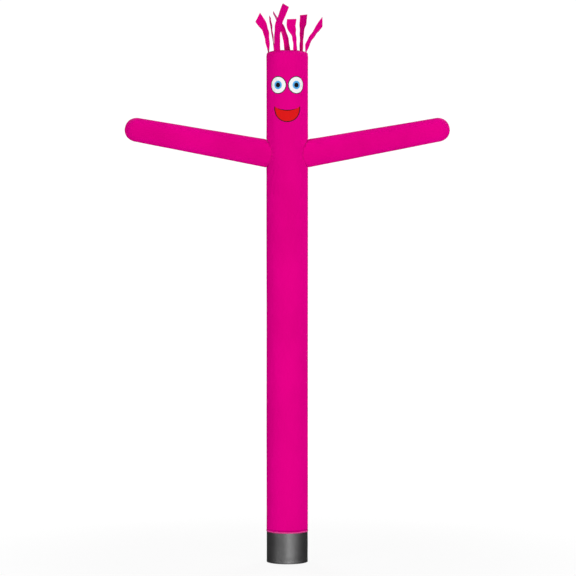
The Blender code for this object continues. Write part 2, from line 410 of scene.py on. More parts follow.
@dataclass(frozen=True)
class FacePrint:
    """A plain printed face: ringed discs for eyes and a crescent for a mouth."""

    eye_across: float = 0.105
    eye_height: float = 5.255
    eye_radius: float = 0.088
    mouth_height: float = 5.020
    mouth_half_width: float = 0.140
    mouth_drop: float = 0.160
    lip_drop: float = 0.045
    outline: float = 0.009
    iris_share: float = 0.52
    pupil_share: float = 0.30
    edge: float = 0.0012
    white: Colour = (0.86, 0.86, 0.86)
    black: Colour = (0.012, 0.010, 0.012)
    blue: Colour = (0.10, 0.42, 0.78)
    red: Colour = (0.70, 0.012, 0.012)

    def discs(self) -> list[PrintDisc]:
        """List the discs from the lowest layer of ink to the highest.

        Returns:
            The discs, one eye after the other.
        """
        layers = [
            (self.eye_radius + self.outline, self.black),
            (self.eye_radius, self.white),
            (self.iris_share * self.eye_radius, self.blue),
            (self.pupil_share * self.eye_radius, self.black),
        ]
        return [
            PrintDisc(side * self.eye_across, self.eye_height, radius, ink)
            for side in (-1, 1)
            for radius, ink in layers
        ]

    def smiles(self) -> list[PrintSmile]:
        """List the mouth's crescents, the dark outline first.

        Returns:
            The two crescents.
        """
        return [
            PrintSmile(
                self.mouth_height + 0.35 * self.outline,
                self.mouth_half_width + 1.4 * self.outline,
                self.mouth_drop + 1.35 * self.outline,
                self.lip_drop - 0.65 * self.outline,
                self.black,
            ),
            PrintSmile(
                self.mouth_height,
                self.mouth_half_width,
                self.mouth_drop,
                self.lip_drop,
                self.red,
            ),
        ]

    def inked(self, desk: NodeDesk, cloth: Feed) -> Socket:
        """Lay every spot of ink over the cloth's colour.

        Args:
            desk: the material's node desk.
            cloth: the bare cloth's colour socket.

        Returns:
            The printed colour's socket.
        """
        across, along = desk.cloth_place()
        colour = cloth
        for disc in self.discs():
            inside = self.in_circle(desk, across, along, disc.across, disc.along, disc.radius)
            colour = desk.mix(inside, colour, (*disc.ink, 1.0))
        for smile in self.smiles():
            lower = self.above_arc(desk, across, along, smile, smile.lower_drop)
            upper = self.above_arc(desk, across, along, smile, smile.upper_drop)
            inside = desk.math("MULTIPLY", lower, desk.math("SUBTRACT", 1.0, upper))
            colour = desk.mix(inside, colour, (*smile.ink, 1.0))
        return colour

    def in_circle(
        self,
        desk: NodeDesk,
        across: Feed,
        along: Feed,
        middle_across: float,
        middle_along: float,
        radius: float,
    ) -> Socket:
        """Tell whether a place on the flat cloth is inside a circle.

        Args:
            desk: the material's node desk.
            across: place across the flat cloth.
            along: place along it.
            middle_across: the circle's middle across the cloth.
            middle_along: the circle's middle along it.
            radius: the circle's radius.

        Returns:
            A socket that is 1 inside the circle and 0 outside it.
        """
        right = desk.math("SUBTRACT", across, middle_across)
        up = desk.math("SUBTRACT", along, middle_along)
        squared = desk.math("MULTIPLY_ADD", right, right, desk.math("MULTIPLY", up, up))
        reach = desk.math("SQRT", squared)
        return desk.math("SUBTRACT", 1.0, desk.ramp(radius - self.edge, radius + self.edge, reach))

    def above_arc(
        self,
        desk: NodeDesk,
        across: Feed,
        along: Feed,
        smile: PrintSmile,
        drop: float,
    ) -> Socket:
        """Tell whether a place is in the circle whose arc hangs this far below the corners.

        Args:
            desk: the material's node desk.
            across: place across the flat cloth.
            along: place along it.
            smile: the crescent whose corners the circle passes through.
            drop: depth of the arc below the corners.

        Returns:
            A socket that is 1 inside the circle and 0 outside it.
        """
        radius = (smile.half_width ** 2 + drop ** 2) / (2 * drop)
        return self.in_circle(desk, across, along, 0.0, smile.along - drop + radius, radius)


@dataclass(frozen=True)
class RipstopNylon:
    """Light satin nylon with a ripstop grid, faint crumples, uneven dye and painted shade on its stitched
    hem.
    """

    name: str
    colour: Colour = (0.754, 0.0004, 0.260)
    deep: Colour = (0.692, 0.0003, 0.231)
    # shaded, shade_strength and shade_edge paint shade on the hem band: the shade of the stitched fold
    # and its groove, over the doubled cloth's real deeper tone.
    shaded: Colour = (0.395, 0.0002, 0.125)
    shade_strength: float = 0.6
    shade_edge: float = 0.003
    roughness: float = 0.52
    roughness_swing: float = 0.07
    refraction: float = 1.12
    gloss: float = 0.05
    gloss_tint: Colour = (1.0, 0.55, 0.75)
    matt: float = 0.78
    sheen: float = 0.02
    sheen_roughness: float = 0.45
    sheen_colour: Colour = (1.0, 0.02, 0.40)
    grid_pitch: float = 0.0055
    grid_width: float = 0.0006
    grid_shade: float = 0.84
    grid_height: float = 0.00018
    dye_scale: float = 2.2
    crumple_scale: float = 16.0
    crumple_height: float = 0.0035
    bump_strength: float = 0.35
    # hem: the heights of the band that gets the painted shade.
    hem: tuple[float, float] | None = None
    face: FacePrint | None = None

    def make(self) -> Finish:
        """Build the cloth's material.

        Returns:
            The material.
        """
        material = bpy.data.materials.new(self.name)
        desk = NodeDesk(material)
        across, along = desk.cloth_place()
        warp = desk.grid_line(across, self.grid_pitch, self.grid_width)
        weft = desk.grid_line(along, self.grid_pitch, self.grid_width)
        grid = desk.math("MAXIMUM", warp, weft)
        threads = (self.grid_shade, self.grid_shade, self.grid_shade, 1.0)
        colour = desk.mix(grid, self.cloth_colour(desk, along), threads, "MULTIPLY")
        crumple = desk.noise(desk.object_place((1.0, 1.0, 0.55)), self.crumple_scale, 4.0)
        least = self.roughness - self.roughness_swing
        weave = desk.math("MULTIPLY", grid, self.grid_height)
        desk.bump(desk.math("MULTIPLY_ADD", crumple, self.crumple_height, weave), self.bump_strength)
        desk.set_shader({
            "Base Color": colour,
            "Roughness": desk.math("MULTIPLY_ADD", crumple, 2 * self.roughness_swing, least),
            "Diffuse Roughness": self.matt,
            "IOR": self.refraction,
            "Specular IOR Level": self.gloss,
            "Specular Tint": (*self.gloss_tint, 1.0),
            "Sheen Weight": self.sheen,
            "Sheen Roughness": self.sheen_roughness,
            "Sheen Tint": (*self.sheen_colour, 1.0),
        })
        return material

    def cloth_colour(self, desk: NodeDesk, along: Feed) -> Socket:
        """Give the dyed cloth's colour with the painted shade on its stitched hem and its print.

        Args:
            desk: the material's node desk.
            along: place along the flat cloth.

        Returns:
            The colour's socket, before the grid's thicker threads.
        """
        clouds = desk.noise(desk.object_place((1.0, 1.0, 0.6)), self.dye_scale, 3.0)
        cloth = desk.mix(desk.ramp(0.35, 0.75, clouds), (*self.colour, 1.0), (*self.deep, 1.0))
        if self.hem:
            # Painted shade of the stitched fold and groove, partly the doubled cloth's deeper tone.
            low, high = self.hem
            rise = desk.ramp(low - self.shade_edge, low, along)
            fall = desk.ramp(high, high + self.shade_edge, along)
            painted_hem_shade = desk.math("MULTIPLY", desk.math("SUBTRACT", rise, fall), self.shade_strength)
            cloth = desk.mix(painted_hem_shade, cloth, (*self.shaded, 1.0))
        if self.face:
            cloth = self.face.inked(desk, cloth)
        return cloth


@dataclass(frozen=True)
class CoatedCloth:
    """Black coated cloth: a satin skin over a plain weave, with scuffs at its foot."""

    name: str = "black_coated_cloth"
    colour: Colour = (0.011, 0.0104, 0.0114)
    scuffed: Colour = (0.022, 0.021, 0.022)
    scuff_height: float = 0.12
    scuff_least: float = 0.25
    scuff_low: float = 0.6
    mark_scale: float = 9.0
    mark_height: float = 0.0012
    refraction: float = 2.0
    roughness: float = 0.48
    roughness_swing: float = 0.08
    gloss: float = 0.60
    coat: float = 0.10
    coat_roughness: float = 0.38
    weave_pitch: float = 0.0016
    weave_depth: float = 0.25
    bump_strength: float = 0.3

    def make(self) -> Finish:
        """Build the cuff's material.

        Returns:
            The material.
        """
        material = bpy.data.materials.new(self.name)
        desk = NodeDesk(material)
        across, along = desk.cloth_place()
        warp = desk.math("PINGPONG", across, self.weave_pitch / 2)
        weft = desk.math("PINGPONG", along, self.weave_pitch / 2)
        weave = desk.math("MULTIPLY", desk.math("ADD", warp, weft), self.weave_depth)
        marks = desk.noise(desk.object_place((1.0, 1.0, 2.5)), self.mark_scale, 6.0)
        low = desk.math("SUBTRACT", 1.0, desk.ramp(0.0, self.scuff_height, along))
        share = desk.math("MULTIPLY_ADD", low, self.scuff_low, self.scuff_least)
        worn = desk.math("MULTIPLY", desk.ramp(0.52, 0.78, marks), share)
        least = self.roughness - self.roughness_swing
        desk.bump(desk.math("MULTIPLY_ADD", marks, self.mark_height, weave), self.bump_strength)
        desk.set_shader({
            "Base Color": desk.mix(worn, (*self.colour, 1.0), (*self.scuffed, 1.0)),
            "Roughness": desk.math("MULTIPLY_ADD", marks, 2 * self.roughness_swing, least),
            "IOR": self.refraction,
            "Specular IOR Level": self.gloss,
            "Coat Weight": self.coat,
            "Coat Roughness": self.coat_roughness,
        })
        return material


@dataclass(frozen=True)
class SewingThread:
    """Twisted polyester thread, seen only as short stitches."""

    name: str
    colour: Colour
    shade: float = 0.6
    roughness: float = 0.6
    twist_pitch: float = 0.0012
    twist_depth: float = 0.0004
    bump_strength: float = 0.4

    def make(self) -> Finish:
        """Build the thread's material.

        Returns:
            The material.
        """
        material = bpy.data.materials.new(self.name)
        desk = NodeDesk(material)
        fibre = desk.noise(desk.object_place((1.0, 1.0, 1.0)), 1 / self.twist_pitch, 2.0)
        shaded = tuple(self.shade * part for part in self.colour)
        colour = desk.mix(fibre, (*self.colour, 1.0), (*shaded, 1.0))
        desk.bump(desk.math("MULTIPLY", fibre, self.twist_depth), self.bump_strength)
        desk.set_shader({"Base Color": colour, "Roughness": self.roughness})
        return material


@dataclass(frozen=True)
class StudioFloor:
    """The pale studio floor."""

    name: str = "studio_floor"
    grey: float = 0.07
    roughness: float = 0.9
    glow: float = 0.90
    far_glow: float = 1.05
    near: float = 1.5
    far: float = 9.0

    def make(self) -> Finish:
        """Build a matt floor that glows white to the camera, so its shadows stay faint.

        Returns:
            The material.
        """
        material = bpy.data.materials.new(self.name)
        desk = NodeDesk(material)
        grey = (self.grey, self.grey, self.grey, 1.0)
        desk.set_shader({"Base Color": grey, "Roughness": self.roughness, "Specular IOR Level": 0.0})
        place = desk.tree.nodes.new("ShaderNodeTexCoord")
        reach = desk.tree.nodes.new("ShaderNodeVectorMath")
        reach.operation = "LENGTH"
        desk.tree.links.new(place.outputs["Object"], reach.inputs[0])
        away = desk.ramp(self.near, self.far, reach.outputs["Value"])
        strength = desk.math("MULTIPLY_ADD", away, self.far_glow - self.glow, self.glow)
        path = desk.tree.nodes.new("ShaderNodeLightPath")
        glow = desk.tree.nodes.new("ShaderNodeEmission")
        desk.link(desk.math("MULTIPLY", path.outputs["Is Camera Ray"], strength), glow.inputs["Strength"])
        both = desk.tree.nodes.new("ShaderNodeAddShader")
        desk.tree.links.new(desk.shader.outputs["BSDF"], both.inputs[0])
        desk.tree.links.new(glow.outputs["Emission"], both.inputs[1])
        desk.tree.links.new(both.outputs["Shader"], desk.output.inputs["Surface"])
        return material


@dataclass
class Wardrobe:
    """Every finish, made once; the hem's painted shade lies between two heights over the tube's foot."""

    tube_foot: float
    hem_shade: tuple[float, float] = (0.018, 0.031)
    face: FacePrint = field(default_factory=FacePrint)

    def __post_init__(self) -> None:
        """Build the materials."""
        low, high = self.hem_shade
        hem = (self.tube_foot + low, self.tube_foot + high)
        # The printed nylon gets painted shade between these heights.
        self.printed_nylon = RipstopNylon("pink_printed_nylon", hem=hem, face=self.face).make()
        self.nylon = RipstopNylon("pink_nylon").make()
        self.streamer_nylon = RipstopNylon("pink_streamer_nylon", roughness=0.48).make()
        self.coated = CoatedCloth().make()
        self.pink_thread = SewingThread("pink_thread", (0.50, 0.003, 0.14)).make()
        # The edge's overlock thread: real stitching, whose pale colour also paints the highlight along
        # the rolled lower edge.
        self.pale_highlight_thread = SewingThread("pale_pink_highlight_thread", (0.84, 0.20, 0.48)).make()
        self.black_thread = SewingThread("black_thread", (0.03, 0.03, 0.03)).make()
        self.floor = StudioFloor().make()


def add_mesh(name: str, bm: bmesh.types.BMesh, material: Finish) -> bpy.types.Object:
    """Turn a bmesh into a smooth object at the origin with one material.

    Args:
        name: the object's name.
        bm: the mesh, which is freed.
        material: its finish.

    Returns:
        The new object.
    """
    mesh = bpy.data.meshes.new(name)
    bm.to_mesh(mesh)
    bm.free()
    mesh.shade_smooth()
    mesh.materials.append(material)
    thing = bpy.data.objects.new(name, mesh)
    bpy.context.collection.objects.link(thing)
    return thing


def thicken(thing: bpy.types.Object, thickness: float, offset: float) -> None:
    """Give a sheet its cloth's thickness and make the result its plain mesh.

    Args:
        thing: an open sheet.
        thickness: the cloth's thickness.
        offset: -1 to grow inwards, 0 to grow both ways.
    """
    wall = thing.modifiers.new("cloth", "SOLIDIFY")
    wall.thickness = thickness
    wall.offset = offset
    make_plain(thing)


def make_plain(thing: bpy.types.Object) -> None:
    """Bake an object's modifiers into its mesh and remove them.

    Args:
        thing: the object.
    """
    graph = bpy.context.evaluated_depsgraph_get()
    graph.update()
    mesh = bpy.data.meshes.new_from_object(thing.evaluated_get(graph), depsgraph=graph)
    thing.modifiers.clear()
    thing.data = mesh
    mesh.name = thing.name


def dress(thing: bpy.types.Object, slot: Slot, *nodes: str) -> None:
    """Make a finished piece ride on the body, hide the solids that it replaces and log its slot.

    Args:
        thing: the piece.
        slot: the record's material slot.
        nodes: the solids that it replaces, if any.
    """
    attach(thing, BODY)
    if nodes:
        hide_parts(*nodes)
    LOG.info("%s: %d faces, slot %s", thing.name, len(thing.data.polygons), slot.value)


class ClothGrid:
    """Builds a sheet from rows of points, with the flat cloth's place as its UV map."""

    def __init__(self) -> None:
        """Start an empty sheet."""
        self.bm = bmesh.new()
        self.uv = self.bm.loops.layers.uv.new("cloth")

    def row(self, points: Iterable[Vector]) -> list[bmesh.types.BMVert]:
        """Add a row of points."""
        return [self.bm.verts.new(point) for point in points]

    def patch(self, corners: Corners, flat: Sequence[FlatPlace]) -> None:
        """Add a face with its corners' places on the flat cloth.

        Args:
            corners: its points.
            flat: their flat places.
        """
        face = self.bm.faces.new(corners)
        for loop, place in zip(face.loops, flat):
            loop[self.uv].uv = place

    def band(
        self,
        low: Corners,
        high: Corners,
        low_flat: Sequence[FlatPlace],
        high_flat: Sequence[FlatPlace],
        closed: bool,
        skip: Callable[[int], bool] = lambda column: False,
    ) -> None:
        """Fill between two rows.

        Args:
            low: the lower row's points.
            high: the upper row's points.
            low_flat: flat places of the lower row; a closed row has one more, past its end.
            high_flat: the same for the upper row.
            closed: whether the rows are loops.
            skip: tells which columns stay open.
        """
        count = len(low)
        for column in range(count if closed else count - 1):
            if skip(column):
                continue
            after = (column + 1) % count
            corners = (low[column], low[after], high[after], high[column])
            flat = (low_flat[column], low_flat[column + 1], high_flat[column + 1], high_flat[column])
            self.patch(corners, flat)

    def bands(self, rows: Sequence[Corners], flats: Sequence[Sequence[FlatPlace]], closed: bool) -> None:
        """Fill between each row and the next.

        Args:
            rows: the rows' points.
            flats: each row's flat places; a closed row has one more, past its end.
            closed: whether the rows are loops.
        """
        for low, high, low_flat, high_flat in zip(rows, rows[1:], flats, flats[1:]):
            self.band(low, high, low_flat, high_flat, closed)

    def cap(
        self,
        ring: Corners,
        flat: Sequence[FlatPlace],
        tip: Vector,
        tip_flat: Callable[[FlatPlace], FlatPlace],
    ) -> None:
        """Close a ring with a fan of faces to one point.

        Args:
            ring: the ring's points.
            flat: their flat places, with one more past the end.
            tip: the point.
            tip_flat: gives the tip's flat place for the face that starts at a flat place.
        """
        middle = self.bm.verts.new(tip)
        for column, start in enumerate(ring):
            corners = (start, ring[(column + 1) % len(ring)], middle)
            self.patch(corners, (flat[column], flat[column + 1], tip_flat(flat[column])))

    def face_out(self, number: int, inside: Vector) -> None:
        """Turn every face to the sheet's outer side.

        Args:
            number: a face that tells the sides apart.
            inside: a point behind that face.
        """
        bmesh.ops.recalc_face_normals(self.bm, faces=self.bm.faces)
        self.bm.faces.ensure_lookup_table()
        face = self.bm.faces[number]
        if face.normal.dot(face.calc_center_median() - inside) < 0:
            bmesh.ops.reverse_faces(self.bm, faces=self.bm.faces)


@dataclass
class Sleeve:
    """One arm: a tapered tube that leaves the body and ends in a round closed hand."""

    node: str
    side: int
    body_radius: float
    height: float
    rise: float = math.radians(10.28)
    root_radius: float = 0.1525
    hand_radius: float = 0.1315
    straight: float = 1.450
    seam_allowance: float = 0.012
    cloth: float = 0.0008
    sides: int = 112
    hand_steps: int = 22
    seam_angle: float = math.radians(160)
    seam_start: float = 0.004
    seam_end_bend: float = 1.3
    flat_hem: float = 0.06
    flat_area: float = 1.42
    pucker_height: float = 0.0042
    root_groove: float = 0.0022
    gather_height: float = 0.0022
    tug_height: float = 0.0010
    tug_width: float = 0.035
    unevenness: float = 0.0016
    tugs: Puckers = Puckers(74.0, 2.5, 9.0, 4.0)
    least_ring: float = 0.02

    def radius_at(self, length: float) -> float:
        """Give the plain sleeve's radius at a length out from the body."""
        share = length / self.straight
        return self.root_radius + (self.hand_radius - self.root_radius) * share

    def place(self, length: float, rise: float, across: float) -> Vector:
        """Give a point from its length along the sleeve, rise above its axis and depth.

        Args:
            length: distance out from the body's side along the axis.
            rise: distance above the axis, square to it.
            across: distance behind the axis.

        Returns:
            The point in the frame.
        """
        out = self.body_radius + length * math.cos(self.rise) - rise * math.sin(self.rise)
        up = self.height + length * math.sin(self.rise) + rise * math.cos(self.rise)
        return Vector((self.side * out, across, up))

    def plain(self, length: float, angle: float, spread: float = 0.0) -> Vector:
        """Give a point on the smooth sleeve, its angle counted from the top to the back.

        Args:
            length: distance out from the body.
            angle: angle round the sleeve.
            spread: how far outside the sleeve the point is.

        Returns:
            The point in the frame.
        """
        if length <= self.straight:
            radius = self.radius_at(length) + spread
            return self.place(length, radius * math.cos(angle), radius * math.sin(angle))
        radius = self.hand_radius + spread
        bend = min(QUARTER_TURN, (length - self.straight) / self.hand_radius)
        along = self.straight + radius * math.sin(bend)
        ring = radius * math.cos(bend)
        return self.place(along, ring * math.cos(angle), ring * math.sin(angle))

    def meets(self, radius: float, angle: float, spread: float = 0.0) -> float:
        """Find the length at which a line along the sleeve meets an upright cylinder.

        Args:
            radius: the cylinder's radius about Z.
            angle: the line's angle round the sleeve.
            spread: how far outside the sleeve the line runs.

        Returns:
            The length along the sleeve.
        """
        low, high = -self.body_radius / 2, self.body_radius
        for _ in range(40):
            length = (low + high) / 2
            point = self.plain(length, angle, spread)
            if math.hypot(point.x, point.y) < radius:
                low = length
            else:
                high = length
        return (low + high) / 2

    def relief(self, length: float, angle: float) -> float:
        """Give how far the sleeve stands out from its smooth form.

        Args:
            length: distance out from the body along the axis.
            angle: angle round the sleeve from its top.

        Returns:
            The rise in metres.
        """
        rise = self.root_relief(length, angle) + self.hand_relief(length, angle)
        from_seam = wrapped(angle - self.seam_angle) * self.root_radius
        tug = math.sin(self.tugs.phase(length))
        rise += self.tug_height * bell(from_seam, 0.0, self.tug_width) * tug
        rise += self.unevenness * rough(length * 2.6, angle * 1.2, 5.0 * self.side)
        return rise + sum(crease.relief(angle, length) for crease in self.creases())

    def root_relief(self, length: float, angle: float) -> float:
        """Give the drawn-in root and the puckers beside it.

        Args:
            length: distance out from the body.
            angle: angle round the sleeve.

        Returns:
            The rise in metres.
        """
        from_wall = max(0.0, length - self.meets_wall(angle))
        puckers = Puckers(23.0, 1.6, 1.3, 8.0 + self.side, 0.5, 2.1, 3.0 * self.side)
        waves = 0.25 + puckers.strength(angle) * math.cos(puckers.phase(angle))
        groove = self.root_groove * math.exp(-from_wall / 0.008)
        return self.pucker_height * swell(from_wall, 0.055, 0.010) * waves - groove

    def hand_relief(self, length: float, angle: float) -> float:
        """Give the gathers round the hand, a little way from its tip.

        Args:
            length: distance out from the body.
            angle: angle round the sleeve.

        Returns:
            The rise in metres.
        """
        to_tip = max(0.0, self.straight + self.hand_radius * QUARTER_TURN - length)
        gathers = Puckers(19.0, 2.2, 1.7, 20.0 + self.side)
        return self.gather_height * bell(to_tip, 0.085, 0.065) * math.cos(gathers.phase(angle))

    def creases(self) -> tuple[Crease, ...]:
        """List the main creases.

        Returns:
            Their angle round, length out, direction, length, width and depth.
        """
        return (
            Crease(-0.75, 0.17, 68, 0.17, 0.055, 0.0030),
            Crease(-2.35, 0.22, -60, 0.20, 0.060, 0.0032),
            Crease(0.85, 0.19, -64, 0.18, 0.055, 0.0028),
            Crease(2.40, 0.25, 58, 0.20, 0.060, 0.0030),
            Crease(-1.55, 0.62, 40, 0.16, 0.050, 0.0016),
            Crease(1.50, 0.80, -35, 0.18, 0.050, 0.0016),
            Crease(-1.20, 1.18, 28, 0.17, 0.045, 0.0017),
        )

    def meets_wall(self, angle: float) -> float:
        """Give the length at which the sleeve's line crosses the body's wall.

        Args:
            angle: angle round the sleeve.

        Returns:
            The length out from the body.
        """
        key = round(angle * 1000)
        if key not in self.wall_lengths:
            self.wall_lengths[key] = self.meets(self.body_radius, angle)
        return self.wall_lengths[key]

    def __post_init__(self) -> None:
        """Keep the wall crossings that are found."""
        self.wall_lengths: dict[int, float] = {}

    def surface(self, length: float, angle: float) -> Vector:
        """Give a point on the sleeve's outer face, with its puckers and creases."""
        return self.plain(length, angle, self.relief(length, wrapped(angle)))

    def build(self, finish: Finish) -> bpy.types.Object:
        """Build the sleeve as a thin sheet, open at its root.

        Args:
            finish: the nylon.

        Returns:
            The dressed object.
        """
        angles = steps(0.0, FULL_TURN, self.sides)[:-1]
        rows = self.row_lengths(angles)
        grid = ClothGrid()
        placed = [
            grid.row(self.surface(length, angle) for length, angle in zip(row, angles))
            for row in rows
        ]
        flats = [self.flat_row(row, angles) for row in rows]
        grid.bands(placed, flats, True)
        tip_length = self.straight + self.hand_radius * QUARTER_TURN
        tip = self.plain(tip_length, 0.0, -0.001)
        grid.cap(placed[-1], flats[-1], tip, lambda place: (place[0], tip_length))
        middle_row = len(rows) // 3
        grid.face_out(self.sides * middle_row, self.place(rows[middle_row][0], 0.0, 0.0))
        self.lay_seam_fold(grid)
        sleeve = add_mesh(self.node + "_cloth", grid.bm, finish)
        thicken(sleeve, self.cloth, -1.0)
        dress(sleeve, Slot.NYLON, self.node)
        return sleeve

    def row_lengths(self, angles: Sequence[float]) -> list[list[float]]:
        """Give each mesh row's lengths out from the body, one for each angle.

        Args:
            angles: angles round the sleeve from its top.

        Returns:
            The rows, from the root's seam allowance inside the body to the hand's last ring.
        """
        trim = self.body_radius - self.seam_allowance
        roots = [self.meets(trim, angle) for angle in angles]
        shares = graded(((0.0, 0.16, 0.010), (0.16, 0.80, 0.020), (0.80, 1.0, 0.011)))
        rows = [
            [root + (self.straight - root) * share for root in roots]
            for share in shares
        ]
        bends = steps(0.0, self.hand_radius * QUARTER_TURN, self.hand_steps)[1:-1]
        return rows + [[self.straight + bend] * len(angles) for bend in bends]

    def flat_row(self, lengths: Sequence[float], angles: Sequence[float]) -> list[FlatPlace]:
        """Give a row's places on the flat cloth, with one more past its end."""
        flat = [(angle * self.root_radius, length) for length, angle in zip(lengths, angles)]
        return flat + [(FULL_TURN * self.root_radius, lengths[0])]

    def ring_path(self, distance: float) -> list[Vector]:
        """Give a closed path round the root, this far out from the body's wall.

        Args:
            distance: distance out from the wall.

        Returns:
            The path's points.
        """
        return [
            self.surface(self.meets_wall(wrapped(angle)) + distance, angle)
            for angle in steps(0.0, FULL_TURN, 160)
        ]

    def seam_span(self) -> tuple[float, float]:
        """Give the lengths at which the sleeve's long seam starts and ends."""
        start = self.meets_wall(self.seam_angle) + self.seam_start
        return start, self.straight + self.hand_radius * self.seam_end_bend

    def seam_point(self, length: float, across: float, lift: float) -> Vector:
        """Give a point on the long seam's fold.

        Args:
            length: distance out from the body.
            across: distance round the sleeve from the seam's middle.
            lift: height over the sleeve's own cloth.

        Returns:
            The point in the frame.
        """
        bend = max(0.0, length - self.straight) / self.hand_radius
        radius = max(self.least_ring, self.hand_radius * math.cos(bend))
        if length <= self.straight:
            radius = self.radius_at(length)
        angle = self.seam_angle + across / radius
        return self.plain(length, angle, self.relief(length, angle) + lift)

    def lay_seam_fold(self, grid: ClothGrid) -> None:
        """Lay the felled seam's folded strip along the sleeve.

        Args:
            grid: the sheet, whose faces already point outwards.
        """
        fold = SEAM_FOLD if self.side < 0 else SEAM_FOLD[::-1]
        middle = self.seam_angle * self.root_radius
        lengths = steps(*self.seam_span(), 150)
        rows = [
            grid.row(self.seam_point(length, across, lift) for across, lift in fold)
            for length in lengths
        ]
        flats = [[(across + middle, length) for across, _ in fold] for length in lengths]
        grid.bands(rows, flats, False)

    def seam_path(self, offset: float) -> list[Vector]:
        """Give a path along the sleeve's long seam, to one side of it."""
        lengths = steps(*self.seam_span(), 220)
        return [self.seam_point(length, offset, SEAM_LIFT) for length in lengths]


@dataclass(frozen=True)
class MapTile:
    """One patch of the tube's colour map: the cloth it holds and where it lies on the map."""

    low_across: float
    high_across: float
    low_along: float
    high_along: float
    left: float
    foot: float
    width: float
    height: float

    def holds(self, across: float, along: float) -> bool:
        """Tell whether a place on the flat cloth belongs to this patch."""
        beside = self.low_across <= across <= self.high_across
        return beside and self.low_along <= along <= self.high_along

    def spot(self, across: float, along: float) -> FlatPlace:
        """Give a flat place's spot on the map.

        Args:
            across: place across the flat cloth.
            along: place along it.

        Returns:
            The spot, from 0 to 1 both ways.
        """
        right = (across - self.low_across) / (self.high_across - self.low_across)
        up = (along - self.low_along) / (self.high_along - self.low_along)
        return self.left + right * self.width, self.foot + up * self.height


